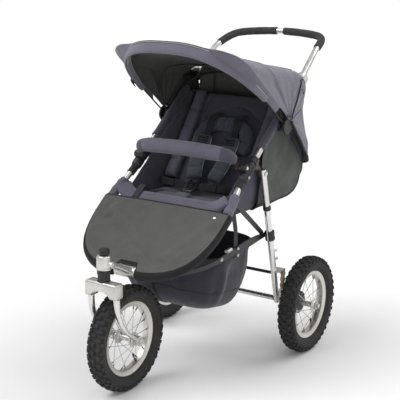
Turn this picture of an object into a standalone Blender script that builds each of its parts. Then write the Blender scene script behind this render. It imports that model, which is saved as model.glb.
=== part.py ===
# Three-wheeled pushchair with air tyres, a swivelling front wheel and a folding hood.
# Metres, +Z up. The child faces -Y, and +X is the child's left hand.
# Inside this script Y is measured from the rear axle; one parent empty moves the
# whole pushchair so that its origin is on the floor, half way along its length.

import math

import bmesh
import bpy
import numpy as np
from mathutils import Matrix, Vector

# Clearances
GAP = 0.0003            # between pieces that touch or rest on each other
RUNNING_GAP = 0.0003    # round a pin that turns in its hole

# Wheels
TYRE_RADIUS = 0.1575
TYRE_WIDTH = 0.057
TYRE_STEPS = 28
KNOB_HEIGHT = 0.0040
RIM_RADIUS = 0.1105
RIM_BED_RADIUS = 0.1040
RIM_INNER_RADIUS = 0.0950
RIM_WIDTH = 0.0290
RIM_STEPS = 28
SPOKE_COUNT = 20
SPOKE_RADIUS = 0.0011
SPOKE_LEAN = math.radians(38)
HUB_LENGTH = 0.0760
HUB_FLANGE_RADIUS = 0.0220
HUB_FLANGE_X = 0.0260
HUB_SHELL_RADIUS = 0.0110
AXLE_RADIUS = 0.0042
BRAKE_DRUM_RADIUS = 0.0330
WHEELBASE = 0.600
HALF_TRACK = 0.276
STEER_TRAIL = 0.104

# Main frame: two straight tubes that rise backwards, joined by a wide loop in front
TUBE_RADIUS = 0.0097
SIDE_TUBE_X = 0.195
FRAME_RISE = 0.80       # rise of the side tubes for each metre back
FRAME_HEIGHT = 0.839    # height of the tube axis above the rear axle
LOOP_FRONT_Y = -0.600
LOOP_BEND_Y = -0.420
LOOP_HALF_WIDTH = 0.210
LOOP_POWER = 2.8
SOCKET_Y = -0.275
SOCKET_LENGTH = 0.070
SOCKET_RADIUS = 0.0165
KNUCKLE_Y = 0.030
KNUCKLE_RADIUS = 0.0180
KNUCKLE_WIDTH = 0.0300

# Handle
HANDLE_TOP_Z = 1.012
HANDLE_BACK_Y = 0.260
HANDLE_CORNER_X = 0.172
GRIP_RADIUS = 0.0128
GRIP_SPLIT = 0.018      # bare tube between the two grips

# Steering head and fork
HEAD_TOP_Z = 0.429
HEAD_HEIGHT = 0.040
HEAD_RADIUS = 0.0210
COLLAR_HEIGHT = 0.0340
CROWN_HEIGHT = 0.0460
CLAMP_HALF_LENGTH = 0.0360
CLAMP_WALL = 0.0075
STEERER_RADIUS = 0.0110
FORK_HALF_WIDTH = 0.0450
FORK_BLADE_RADIUS = 0.0095
DROPOUT_RADIUS = 0.0140
DROPOUT_THICKNESS = 0.0120

# Rear legs
LEG_X = 0.212
LEG_RADIUS = 0.0095
LEG_PIVOT_Y = -0.205
LEG_PIVOT_DROP = 0.0508  # square to the side tube
LEG_FOOT_Y = -0.088
LEG_FOOT_Z = 0.186
LATCH_Z = 0.406
LATCH_LENGTH = 0.030
PIN_RADIUS = 0.0040
ARM_THICKNESS = 0.0080
ARM_FACE_X = 0.2235
SPRING_RADIUS = 0.0085
SPRING_TOP_Z = 0.282
SPRING_FOOT_Z = 0.222
BRAKE_BAR_Z = 0.276
BRAKE_BAR_RADIUS = 0.0050

# Lower side rails and struts
RAIL_X = 0.193
RAIL_THICKNESS = 0.005
RAIL_FRONT_Y = -0.565
STRUT_X = 0.188
STRUT_TOP_X = 0.1895      # the loop is already a little wider here
STRUT_THICKNESS = 0.004

# Bumper bar
BUMPER_RISE = 0.022     # pivot above the tube axis, square to it
BUMPER_CORE_RADIUS = 0.0090
BUMPER_PAD_RADIUS = 0.0225
BUMPER_FRONT_Y = -0.334
BUMPER_TOP_Z = 0.681

# Hood
HOOD_PIVOT_Y = -0.100
HOOD_PIVOT_Z = 0.743
HOOD_HALF_WIDTH = 0.236
BOW_THICKNESS = 0.0050
FRONT_BOW_ANGLE = math.radians(145)
FRONT_BOW_REACH = 0.415
MID_BOW_ANGLE = math.radians(118)
MID_BOW_REACH = 0.198
REAR_BOW_ANGLE = math.radians(52)
REAR_BOW_REACH = 0.178
HOOD_CAP_RADIUS = 0.025
BRIM_WIDTH = 0.036
BRIM_THICKNESS = 0.016
CLOTH = 0.003

# Seat
SEAT_HALF_WIDTH = 0.176
SEAT_Z = 0.4955
SEAT_FRONT_Y = -0.372
SEAT_ROLL_RADIUS = 0.017
HEM_FRONT_Y = -0.218     # the wall's hem runs along the side tube from here
HEM_REAR_Y = -0.010
BACK_PIVOT_Y = -0.175
BACK_PIVOT_Z = 0.523
BACK_ANGLE = math.radians(57)
BACK_LENGTH = 0.345
BACK_HALF_WIDTH = 0.160
PAD_HALF_THICKNESS = 0.0140
POUCH_HALF_WIDTH = 0.193
PILLOW_HALF_WIDTH = 0.0240
PILLOW_HALF_THICKNESS = 0.0166

# Basket
BASKET_RIM_Z = 0.388
BASKET_FLOOR_Z = 0.172
BASKET_FRONT_Y = -0.428
BASKET_REAR_Y = -0.168

SLOPE = math.atan(FRAME_RISE)
ALONG = Vector((0.0, math.cos(SLOPE), math.sin(SLOPE)))
SQUARE = Vector((0.0, -math.sin(SLOPE), math.cos(SLOPE)))
ACROSS = Vector((1.0, 0.0, 0.0))
UP = Vector((0.0, 0.0, 1.0))
HEAD_Y = -(WHEELBASE + STEER_TRAIL)

for old in list(bpy.data.objects):
    bpy.data.objects.remove(old)

parts = bpy.data.collections.new("pushchair")
cutters = bpy.data.collections.new("cutters")
bpy.context.scene.collection.children.link(parts)
bpy.context.scene.collection.children.link(cutters)


# Finishes, as base colour, roughness and metallic value

FINISHES = {
    "silver tube": ((0.62, 0.61, 0.60), 0.34, 0.9),
    "cast silver": ((0.55, 0.54, 0.52), 0.42, 0.8),
    "rim": ((0.60, 0.58, 0.55), 0.36, 0.85),
    "black plastic": ((0.012, 0.012, 0.013), 0.48, 0.0),
    "black steel": ((0.015, 0.015, 0.016), 0.40, 0.5),
    "tyre rubber": ((0.030, 0.031, 0.030), 0.82, 0.0),
    "foam grip": ((0.055, 0.058, 0.055), 0.88, 0.0),
    "elastomer": ((0.30, 0.25, 0.19), 0.60, 0.0),
    "navy fabric": ((0.105, 0.098, 0.135), 0.90, 0.0),
    "dark fabric": ((0.045, 0.043, 0.056), 0.92, 0.0),
    "slate fabric": ((0.042, 0.048, 0.062), 0.92, 0.0),
    "apron fabric": ((0.085, 0.085, 0.080), 0.92, 0.0),
    "mesh fabric": ((0.070, 0.075, 0.070), 0.92, 0.0),
    "basket fabric": ((0.032, 0.030, 0.042), 0.92, 0.0),
    "webbing": ((0.014, 0.014, 0.016), 0.80, 0.0),
}


def give_finish(obj, finish):
    colour, roughness, metallic = FINISHES[finish]
    material = bpy.data.materials.new(obj.name + "_finish")
    material.use_nodes = True
    shader = material.node_tree.nodes["Principled BSDF"]
    shader.inputs["Base Color"].default_value = (*colour, 1.0)
    shader.inputs["Roughness"].default_value = roughness
    shader.inputs["Metallic"].default_value = metallic
    obj.data.materials.clear()
    obj.data.materials.append(material)


# Places on the frame

def frame_z(y):
    return FRAME_HEIGHT + FRAME_RISE * y


def on_frame(x, y):
    return Vector((x, y, frame_z(y)))


def loop_x(y):
    """Half width of the front loop at y, where it is wider than the straight tubes."""
    reach = (LOOP_BEND_Y - y) / (LOOP_BEND_Y - LOOP_FRONT_Y)
    return LOOP_HALF_WIDTH * (1 - reach ** LOOP_POWER) ** (1 / LOOP_POWER)


BOSS_REACH = SOCKET_RADIUS + 0.0005
LEG_PIVOT = on_frame(0.0, LEG_PIVOT_Y - LEG_PIVOT_DROP * math.sin(SLOPE)) - LEG_PIVOT_DROP * SQUARE
LEG_FOOT = Vector((0.0, LEG_FOOT_Y, LEG_FOOT_Z))
LEG_LINE = (LEG_FOOT - LEG_PIVOT).normalized()
BUMPER_PIVOT = on_frame(0.0, SOCKET_Y) + BUMPER_RISE * SQUARE
HOOD_PIVOT = Vector((0.0, HOOD_PIVOT_Y, HOOD_PIVOT_Z))
BACK_PIVOT = Vector((0.0, BACK_PIVOT_Y, BACK_PIVOT_Z))
HANDLE_PIVOT = on_frame(0.0, KNUCKLE_Y)
FRONT_AXLE = Vector((0.0, -WHEELBASE, TYRE_RADIUS))
REAR_AXLE = Vector((0.0, 0.0, TYRE_RADIUS))
HEAD_TOP = Vector((0.0, HEAD_Y, HEAD_TOP_Z))


def on_leg(z, x=0.0):
    return LEG_PIVOT + LEG_LINE * ((z - LEG_PIVOT.z) / LEG_LINE.z) + Vector((x, 0.0, 0.0))


def mirrored(point, side):
    return Vector((point[0] * side, point[1], point[2]))


def with_x(point, x):
    return Vector((x, point[1], point[2]))


# Paths

def smooth_path(points, pieces):
    """Catmull-Rom curve through the points, with this many pieces between two of them."""
    points = [Vector(p) for p in points]
    ends = [2 * points[0] - points[1]] + points + [2 * points[-1] - points[-2]]
    path = []
    for i in range(1, len(ends) - 2):
        a, b, c, d = ends[i - 1:i + 3]
        for k in range(pieces):
            t = k / pieces
            path.append(0.5 * (2 * b + (c - a) * t + (2 * a - 5 * b + 4 * c - d) * t * t
                               + (3 * b - a - 3 * c + d) * t ** 3))
    path.append(points[-1])
    return path


def mirror_path(half):
    """A whole path from its +X half, which ends on the middle plane."""
    return list(half) + [Vector((-p[0], p[1], p[2])) for p in reversed(half[:-1])]


def tangents(path):
    found = []
    for i in range(len(path)):
        ahead = path[min(i + 1, len(path) - 1)]
        behind = path[max(i - 1, 0)]
        found.append((ahead - behind).normalized())
    return found


# Makers of solids. Each takes points in the script's frame and the object's own origin.

def keep(obj, finish=None):
    parts.objects.link(obj)
    if finish:
        give_finish(obj, finish)
    return obj


def object_from_bmesh(name, bm, origin, sharp=35):
    bmesh.ops.recalc_face_normals(bm, faces=bm.faces)
    bmesh.ops.translate(bm, verts=bm.verts, vec=-Vector(origin))
    mesh = bpy.data.meshes.new(name)
    bm.to_mesh(mesh)
    bm.free()
    mesh.shade_smooth()
    mesh.set_sharp_from_angle(angle=math.radians(sharp))
    obj = bpy.data.objects.new(name, mesh)
    obj.location = origin
    return obj


def loft(name, rings, origin=(0, 0, 0), loop=False, sharp=35):
    """Skin over rings of points; the ends are closed, or the last ring meets the first."""
    bm = bmesh.new()
    rows = [[bm.verts.new(p) for p in ring] for ring in rings]
    count = len(rows[0])
    pairs = list(zip(rows, rows[1:]))
    if loop:
        pairs.append((rows[-1], rows[0]))
    for near, far in pairs:
        for j in range(count):
            k = (j + 1) % count
            bm.faces.new((near[j], near[k], far[k], far[j]))
    if not loop:
        bm.faces.new(reversed(rows[0]))
        bm.faces.new(rows[-1])
    return object_from_bmesh(name, bm, origin, sharp)


def cloth_shell(name, grid, thickness=CLOTH, origin=(0, 0, 0), closed_rows=False):
    """A sheet over a grid of points, thickened evenly to both sides."""
    bm = bmesh.new()
    rows = [[bm.verts.new(p) for p in row] for row in grid]
    count = len(rows[0])
    for near, far in zip(rows, rows[1:]):
        for j in range(count if closed_rows else count - 1):
            k = (j + 1) % count
            bm.faces.new((near[j], near[k], far[k], far[j]))
    if closed_rows:
        bm.faces.new(rows[-1])
    obj = object_from_bmesh(name, bm, origin)
    solid = obj.modifiers.new("thickness", "SOLIDIFY")
    solid.thickness = thickness
    solid.offset = 0.0
    solid.use_even_offset = True
    return obj


def turned(name, profile, location, direction=ACROSS, steps=24, ring=False):
    """A turned piece: (radius, height) points run down its outer side, about the direction."""
    mesh = bpy.data.meshes.new(name)
    count = len(profile)
    edges = [(i, i + 1) for i in range(count - 1)]
    if ring:
        edges.append((count - 1, 0))
    mesh.from_pydata([(r, 0.0, h) for r, h in profile], edges, [])
    obj = bpy.data.objects.new(name, mesh)
    obj.rotation_mode = "QUATERNION"
    obj.rotation_quaternion = Vector(direction).to_track_quat("Z", "Y")
    obj.location = location
    screw = obj.modifiers.new("turn", "SCREW")
    screw.steps = steps
    screw.render_steps = steps
    screw.use_merge_vertices = True
    screw.merge_threshold = 0.00001
    screw.use_smooth_shade = False
    return obj


def rod(name, start, end, radius, steps=12):
    """A plain round bar between two points."""
    start = Vector(start)
    end = Vector(end)
    half = (end - start).length / 2
    profile = [(0.0, half), (radius, half), (radius, -half), (0.0, -half)]
    return turned(name, profile, (start + end) / 2, end - start, steps)


def sleeve(name, start, end, outer, inner, edge=0.001, steps=16):
    """A short pipe between two points, with its outer edges broken."""
    start = Vector(start)
    end = Vector(end)
    half = (end - start).length / 2
    profile = [(inner, half), (outer - edge, half), (outer, half - edge),
               (outer, edge - half), (outer - edge, -half), (inner, -half)]
    return turned(name, profile, (start + end) / 2, end - start, steps, ring=True)


def block(name, size, centre, turn=None, bevel=0.0015):
    """A box with rounded edges; turn is a rotation matrix."""
    bm = bmesh.new()
    bmesh.ops.create_cube(bm, size=1.0)
    bmesh.ops.scale(bm, verts=bm.verts, vec=size)
    mesh = bpy.data.meshes.new(name)
    bm.to_mesh(mesh)
    bm.free()
    obj = bpy.data.objects.new(name, mesh)
    obj.location = centre
    if turn is not None:
        obj.rotation_euler = turn.to_euler()
    if bevel > 0:
        rounding = obj.modifiers.new("edges", "BEVEL")
        rounding.width = bevel
        rounding.segments = 2
    return obj


def plate(name, outline, x_from, x_to, origin=(0, 0, 0), bevel=0.0):
    """A flat plate across X, from its outline of (y, z) points."""
    bm = bmesh.new()
    face = bm.faces.new([bm.verts.new((x_from, y, z)) for y, z in outline])
    grown = bmesh.ops.extrude_face_region(bm, geom=[face])
    moved = [item for item in grown["geom"] if isinstance(item, bmesh.types.BMVert)]
    bmesh.ops.translate(bm, verts=moved, vec=(x_to - x_from, 0.0, 0.0))
    obj = object_from_bmesh(name, bm, origin)
    if bevel > 0:
        rounding = obj.modifiers.new("edges", "BEVEL")
        rounding.width = bevel
        rounding.segments = 1
        rounding.limit_method = "ANGLE"
    return obj


def tube(name, path, radius, sides=10, radii=None):
    """A round tube along a path of points, with closed ends."""
    curve = bpy.data.curves.new(name, "CURVE")
    curve.dimensions = "3D"
    curve.bevel_depth = radius
    curve.bevel_resolution = (sides - 4) // 2
    curve.use_fill_caps = True
    line = curve.splines.new("POLY")
    line.points.add(len(path) - 1)
    for i, p in enumerate(path):
        line.points[i].co = (*p, 1.0)
        line.points[i].radius = radii[i] if radii else 1.0
    return bpy.data.objects.new(name, curve)


def tube_mesh(name, path, radius, sides=10, radii=None):
    """The same tube as a mesh, so that it can be cut and joined."""
    guide = tube(name + "_guide", path, radius, sides, radii)
    cutters.objects.link(guide)
    state = bpy.context.evaluated_depsgraph_get()
    mesh = bpy.data.meshes.new_from_object(guide.evaluated_get(state))
    bm = bmesh.new()
    bm.from_mesh(mesh)
    bmesh.ops.remove_doubles(bm, verts=bm.verts, dist=0.00001)
    bm.to_mesh(mesh)
    bm.free()
    obj = bpy.data.objects.new(name, mesh)
    obj.matrix_world = guide.matrix_world
    bpy.data.objects.remove(guide)
    return obj


def ring_section(radius, sides, squash=1.0, power=2.0):
    """Points of a round or squarish section, as (side, height) pairs."""
    points = []
    for k in range(sides):
        angle = 2 * math.pi * (k + 0.5) / sides
        c = math.cos(angle)
        s = math.sin(angle)
        points.append((radius * math.copysign(abs(c) ** (2 / power), c),
                       radius * squash * math.copysign(abs(s) ** (2 / power), s)))
    return points


def swept_rings(path, side_of, section_of):
    """Rings along a path: section_of(i) is spread over the side vector and the one square to it."""
    rings = []
    for i, (point, tangent) in enumerate(zip(path, tangents(path))):
        side = side_of(i)
        side = (side - tangent * side.dot(tangent)).normalized()
        height = side.cross(tangent).normalized()
        rings.append([point + a * side + b * height for a, b in section_of(i)])
    return rings


def pipe_sleeve(name, path, outer, inner, sides=12, outer_at=None):
    """A pipe round a bent tube: its outer skin runs out and its inner skin runs back."""
    up = UP.copy()

    def outer_section(i):
        return ring_section(outer_at(i) if outer_at else outer, sides)

    def inner_section(i):
        return ring_section(inner, sides)

    outside = swept_rings(path, lambda i: up, outer_section)
    inside = swept_rings(path, lambda i: up, inner_section)
    return loft(name, outside + inside[::-1], loop=True)


def as_tool(obj):
    cutters.objects.link(obj)
    obj.hide_render = True
    obj.display_type = "WIRE"
    return obj


def combine(obj, tool, operation):
    as_tool(tool)
    change = obj.modifiers.new(tool.name, "BOOLEAN")
    change.operation = operation
    change.object = tool
    return obj


def cut(obj, tool):
    return combine(obj, tool, "DIFFERENCE")


def join(obj, tool):
    return combine(obj, tool, "UNION")


# Bodies that move: an empty on each joint's axis

bodies = {}
body_places = {}


def add_body(name, place, parent=None):
    empty = bpy.data.objects.new(name, None)
    empty.empty_display_size = 0.03
    parts.objects.link(empty)
    place = Vector(place)
    start = body_places[parent] if parent else Vector((0, 0, 0))
    empty.parent = bodies[parent] if parent else None
    empty.location = place - start
    bodies[name] = empty
    body_places[name] = place
    return empty


def attach(body, *objects):
    """Hang objects, and whatever cuts or joins them, on a body's empty."""
    for obj in objects:
        obj.parent = bodies[body]
        obj.location = obj.location - body_places[body]
        attach(body, *[change.object for change in obj.modifiers if change.type == "BOOLEAN"])


LENGTH_MIDDLE = (HANDLE_BACK_Y + GRIP_RADIUS - WHEELBASE - TYRE_RADIUS) / 2
add_body("pushchair_origin", (0, 0, 0))
add_body("front_fork", (0, HEAD_Y, HEAD_TOP_Z), "pushchair_origin")
add_body("front_wheel", FRONT_AXLE, "front_fork")
add_body("swivel_lock", HEAD_TOP, "pushchair_origin")
add_body("rear_legs", LEG_PIVOT, "pushchair_origin")
add_body("brake", on_leg(BRAKE_BAR_Z), "rear_legs")
for side_name, side in (("left", 1), ("right", -1)):
    add_body("latch_" + side_name, on_leg(LATCH_Z, side * LEG_X), "rear_legs")
    add_body("arm_" + side_name, with_x(LEG_FOOT, side * LEG_X), "rear_legs")
    add_body("rear_wheel_" + side_name, with_x(REAR_AXLE, side * HALF_TRACK), "arm_" + side_name)
add_body("handle", HANDLE_PIVOT, "pushchair_origin")
add_body("hood_front", HOOD_PIVOT, "pushchair_origin")
add_body("hood_mid", HOOD_PIVOT, "pushchair_origin")
add_body("backrest", BACK_PIVOT, "pushchair_origin")
add_body("bumper", BUMPER_PIVOT, "pushchair_origin")


# Wheels

def make_tyre(name, centre):
    """An air tyre: its section is spun, then every other tread face stands up as a knob."""
    half_face = math.cos(math.pi / TYRE_STEPS)
    tread = TYRE_RADIUS / half_face - KNOB_HEIGHT
    bead = RIM_BED_RADIUS / half_face + 0.001
    half = TYRE_WIDTH / 2
    inside = RIM_WIDTH / 2 - 0.0022 - GAP
    side = [(inside, bead), (inside, RIM_RADIUS + 0.0015), (half * 0.92, bead + 0.019),
            (half * 0.96, tread - 0.008), (half * 0.38, tread)]
    section = side + [(-x, r) for x, r in reversed(side)]
    bm = bmesh.new()
    start = math.pi / TYRE_STEPS
    verts = [bm.verts.new((x, r * math.sin(start), r * math.cos(start))) for x, r in section]
    edges = [bm.edges.new((verts[i], verts[(i + 1) % len(verts)])) for i in range(len(verts))]
    bmesh.ops.spin(bm, geom=verts + edges, cent=(0, 0, 0), axis=(1, 0, 0), dvec=(0, 0, 0),
                   angle=2 * math.pi, steps=TYRE_STEPS, use_merge=True)
    bmesh.ops.remove_doubles(bm, verts=bm.verts, dist=0.00001)
    bmesh.ops.recalc_face_normals(bm, faces=bm.faces)
    knobs = []
    for face in bm.faces:
        middle = face.calc_center_median()
        if math.hypot(middle.y, middle.z) < (tread - 0.006) * half_face:
            continue
        turn = math.atan2(middle.y, -middle.z) / (2 * math.pi) * TYRE_STEPS
        in_middle_row = abs(middle.x) < half * 0.3
        if (round(turn) % 2 == 0) == in_middle_row:
            knobs.append(face)
    for face in bmesh.ops.extrude_discrete_faces(bm, faces=knobs)["faces"]:
        middle = face.calc_center_median()
        outward = Vector((0.0, middle.y, middle.z)).normalized()
        outward = (outward + Vector((math.copysign(0.45, middle.x), 0, 0))
                   if abs(middle.x) > half * 0.3 else outward)
        lift = KNOB_HEIGHT * half_face if abs(middle.x) < half * 0.3 else KNOB_HEIGHT * 0.8
        for vert in face.verts:
            vert.co = middle + (vert.co - middle) * 0.82 + outward * lift
    bmesh.ops.translate(bm, verts=bm.verts, vec=centre)
    obj = object_from_bmesh(name, bm, centre, sharp=25)
    return keep(obj, "tyre rubber")


def make_rim(name, centre):
    """A deep rim with two bead flanges."""
    half = RIM_WIDTH / 2
    lip = 0.0022
    profile = [(RIM_BED_RADIUS, half - lip), (RIM_RADIUS, half - lip), (RIM_RADIUS, half),
               (RIM_INNER_RADIUS, half * 0.80), (RIM_INNER_RADIUS, -half * 0.80),
               (RIM_RADIUS, -half), (RIM_RADIUS, lip - half), (RIM_BED_RADIUS, lip - half)]
    return keep(turned(name, profile[::-1], centre, ACROSS, RIM_STEPS, ring=True), "rim")


def spoke_bundle(name, centre):
    """Spokes of both flanges as slim bars: one flange's lean forwards, the other's back."""
    bm = bmesh.new()
    start_radius = HUB_FLANGE_RADIUS - 0.004
    end_radius = RIM_INNER_RADIUS * math.cos(math.pi / RIM_STEPS) - 0.0006
    for k in range(SPOKE_COUNT):
        flange = 1 if k % 2 == 0 else -1
        angle = 2 * math.pi * k / SPOKE_COUNT
        lean = angle + flange * SPOKE_LEAN
        foot = Vector((flange * HUB_FLANGE_X, start_radius * math.cos(lean), start_radius * math.sin(lean)))
        head = Vector((flange * 0.003, end_radius * math.cos(angle), end_radius * math.sin(angle)))
        line = head - foot
        turn = line.to_track_quat("Z", "Y").to_matrix().to_4x4()
        bmesh.ops.create_cone(bm, cap_ends=True, segments=4, radius1=SPOKE_RADIUS, radius2=SPOKE_RADIUS,
                              depth=line.length, matrix=Matrix.Translation(foot + line / 2) @ turn)
    bmesh.ops.translate(bm, verts=bm.verts, vec=centre)
    return object_from_bmesh(name, bm, centre)


def make_hub(name, centre, drum_side=0):
    """A hub with two spoke flanges, its spokes, and a brake drum on one side of a rear hub."""
    half = HUB_LENGTH / 2
    bore = AXLE_RADIUS + RUNNING_GAP
    flange = HUB_FLANGE_RADIUS
    shell = HUB_SHELL_RADIUS
    thin = 0.002
    high = HUB_FLANGE_X + thin
    low = HUB_FLANGE_X - thin
    profile = [(bore, half), (shell * 0.85, half), (shell, high), (flange, high), (flange, low),
               (shell * 0.85, low), (shell * 0.85, -low), (flange, -low), (flange, -high), (shell, -high),
               (shell * 0.85, -half), (bore, -half)]
    if drum_side:
        drum = [(BRAKE_DRUM_RADIUS, half), (BRAKE_DRUM_RADIUS, high + 0.001), (flange, high + 0.001)]
        profile = [profile[0]] + drum + profile[4:]
    direction = ACROSS * (drum_side or 1)
    hub = keep(turned(name, profile, centre, direction, 10, ring=True), "cast silver")
    return join(hub, spoke_bundle(name + "_spokes", centre))


def make_wheel(prefix, centre, body, drum_side=0):
    attach(body, make_tyre(prefix + "_tyre", centre), make_rim(prefix + "_rim", centre),
           make_hub(prefix + "_hub", centre, drum_side))


make_wheel("front", FRONT_AXLE, "front_wheel")
make_wheel("rear_left", with_x(REAR_AXLE, HALF_TRACK), "rear_wheel_left", -1)
make_wheel("rear_right", with_x(REAR_AXLE, -HALF_TRACK), "rear_wheel_right", 1)


# Front fork and steering head

CROWN_TOP = HEAD_TOP_Z - HEAD_HEIGHT - COLLAR_HEIGHT - 2 * GAP
CROWN_FOOT = CROWN_TOP - CROWN_HEIGHT


def make_fork():
    bore = AXLE_RADIUS + RUNNING_GAP
    blade_top = Vector((FORK_HALF_WIDTH, HEAD_Y, CROWN_FOOT - GAP))
    for side_name, side in (("left", 1), ("right", -1)):
        line = [blade_top - 0.006 * UP, Vector((FORK_HALF_WIDTH, HEAD_Y + 0.008, CROWN_FOOT - 0.050)),
                Vector((FORK_HALF_WIDTH, HEAD_Y + 0.040, TYRE_RADIUS + 0.048)),
                with_x(FRONT_AXLE, FORK_HALF_WIDTH)]
        line = [mirrored(p, side) for p in [blade_top] + smooth_path(line, 3)]
        taper = [1.0 - 0.42 * i / (len(line) - 1) for i in range(len(line))]
        blade = tube_mesh("fork_blade_" + side_name, line, FORK_BLADE_RADIUS, 8, taper)
        eye_from = with_x(FRONT_AXLE, side * (FORK_HALF_WIDTH - DROPOUT_THICKNESS / 2))
        eye_to = with_x(FRONT_AXLE, side * (FORK_HALF_WIDTH + DROPOUT_THICKNESS / 2))
        join(blade, rod(blade.name + "_eye", eye_from, eye_to, DROPOUT_RADIUS))
        cut(blade, rod(blade.name + "_hole", with_x(FRONT_AXLE, 0), with_x(FRONT_AXLE, side * 0.08), bore))
        attach("front_fork", keep(blade, "silver tube"))

    size = (2 * (FORK_HALF_WIDTH + FORK_BLADE_RADIUS + 0.0015), 0.038, CROWN_HEIGHT)
    crown_middle = Vector((0, HEAD_Y, CROWN_FOOT + CROWN_HEIGHT / 2))
    crown = block("fork_crown", size, crown_middle, bevel=0.007)
    arch_depth = CROWN_HEIGHT * 0.42
    arch = rod("crown_arch", (0, HEAD_Y - 0.04, CROWN_FOOT), (0, HEAD_Y + 0.04, CROWN_FOOT), 0.034, 20)
    arch.scale = (1.0, arch_depth / 0.034, 1.0)
    cut(crown, arch)
    steerer_top = HEAD_TOP_Z - 0.006
    join(crown, rod("steerer", (0, HEAD_Y, CROWN_TOP - 0.008), (0, HEAD_Y, steerer_top), STEERER_RADIUS, 16))
    attach("front_fork", keep(crown, "cast silver"))

    nut_face = FORK_HALF_WIDTH + DROPOUT_THICKNESS / 2 + GAP
    nut = 0.0085
    axle_half = [(0.0, nut_face + 0.009), (AXLE_RADIUS, nut_face + 0.009), (AXLE_RADIUS, nut_face + 0.006),
                 (nut, nut_face + 0.006), (nut, nut_face), (AXLE_RADIUS, nut_face)]
    axle_profile = axle_half + [(r, -x) for r, x in reversed(axle_half)]
    axle = turned("front_axle", axle_profile, FRONT_AXLE, ACROSS, 10)
    attach("front_fork", keep(axle, "cast silver"))


def make_head():
    """The cast head that carries the steerer, its neck, and its clamp on the front loop."""
    low = HEAD_TOP_Z - HEAD_HEIGHT
    bore = STEERER_RADIUS + RUNNING_GAP
    middle_z = HEAD_TOP_Z - HEAD_HEIGHT / 2
    round_head = [(0.0, HEAD_HEIGHT / 2), (HEAD_RADIUS - 0.005, HEAD_HEIGHT / 2),
                  (HEAD_RADIUS, HEAD_HEIGHT / 2 - 0.006), (HEAD_RADIUS, 0.004 - HEAD_HEIGHT / 2),
                  (HEAD_RADIUS + 0.001, 0.003 - HEAD_HEIGHT / 2), (HEAD_RADIUS + 0.001, -HEAD_HEIGHT / 2),
                  (0.0, -HEAD_HEIGHT / 2)]
    head = keep(turned("head_bracket", round_head, (0, HEAD_Y, middle_z), UP, 16), "cast silver")
    loop_front = on_frame(0, LOOP_FRONT_Y)
    clamp_radius = TUBE_RADIUS + CLAMP_WALL
    stations = []
    neck_from = Vector((0, HEAD_Y + 0.006, middle_z - 0.002))
    for t in (0.0, 0.35, 0.7, 1.0):
        centre = neck_from.lerp(loop_front, t)
        half_wide = 0.0165 + 0.0155 * t * t
        half_high = 0.0150 - 0.0015 * math.sin(math.pi * t)
        section = ring_section(1.0, 8, power=3.2)
        stations.append([centre + Vector((a * half_wide, -0.4 * b * half_high, b * half_high))
                         for a, b in section])
    join(head, loft("head_neck", stations))
    join(head, rod("head_clamp", with_x(loop_front, -CLAMP_HALF_LENGTH), with_x(loop_front, CLAMP_HALF_LENGTH), clamp_radius, 12))
    join(head, rod("head_lug", (0.012, HEAD_Y, middle_z - 0.004), (0.033, HEAD_Y, middle_z - 0.004), 0.0085, 10))
    cut(head, rod("head_bore", (0, HEAD_Y, low - 0.01), (0, HEAD_Y, HEAD_TOP_Z - 0.004), bore, 16))
    cut(head, rod("knob_bore", (0, HEAD_Y, low), (0, HEAD_Y, HEAD_TOP_Z + 0.01), 0.0060 + 2 * RUNNING_GAP, 12))
    cut(head, rod("clamp_bore", with_x(loop_front, -0.06), with_x(loop_front, 0.06), TUBE_RADIUS + 0.0010, 16))
    attach("pushchair_origin", head)

    collar_low = low - GAP - COLLAR_HEIGHT
    collar_mid = collar_low + COLLAR_HEIGHT / 2
    half = COLLAR_HEIGHT / 2
    profile = [(bore, half), (0.0185, half), (0.0195, half - 0.002), (0.0195, 0.004),
               (0.0175, 0.000), (0.0175, 0.003 - half), (0.0190, -half), (bore, -half)]
    collar = turned("head_bearing", profile, (0, HEAD_Y, collar_mid), UP, 16, ring=True)
    attach("pushchair_origin", keep(collar, "black plastic"))

    knob_profile = [(0.0, 0.019), (0.0100, 0.019), (0.0150, 0.016), (0.0162, 0.010), (0.0150, 0.003),
                    (0.0120, GAP), (0.0060, GAP), (0.0060, -0.0055), (0.0, -0.0055)]
    knob = turned("swivel_lock_knob", knob_profile, HEAD_TOP, UP, 14)
    attach("swivel_lock", keep(knob, "black plastic"))


make_fork()
make_head()


# Main frame tubes

def make_front_loop():
    socket_end = SOCKET_Y - SOCKET_LENGTH / 2 * math.cos(SLOPE)
    bend = [Vector((SIDE_TUBE_X, socket_end - 0.006, 0)), Vector((SIDE_TUBE_X + 0.007, -0.350, 0)),
            Vector((LOOP_HALF_WIDTH - 0.001, -0.388, 0)), Vector((LOOP_HALF_WIDTH, LOOP_BEND_Y, 0))]
    half = [Vector((SIDE_TUBE_X, SOCKET_Y - 0.002, 0))] + smooth_path(bend, 2)
    count = 8
    for k in range(1, count + 1):
        angle = math.pi / 2 * k / count
        x = LOOP_HALF_WIDTH * max(math.cos(angle), 0.0) ** (2 / LOOP_POWER)
        y = LOOP_BEND_Y - (LOOP_BEND_Y - LOOP_FRONT_Y) * math.sin(angle) ** (2 / LOOP_POWER)
        in_clamp = k >= count - 1
        half.append(Vector((x if k < count else 0.0, LOOP_FRONT_Y if in_clamp else y, 0)))
    path = [on_frame(p.x, p.y) for p in mirror_path(half)]
    attach("pushchair_origin", keep(tube("front_loop", path, TUBE_RADIUS, 8), "silver tube"))


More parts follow.
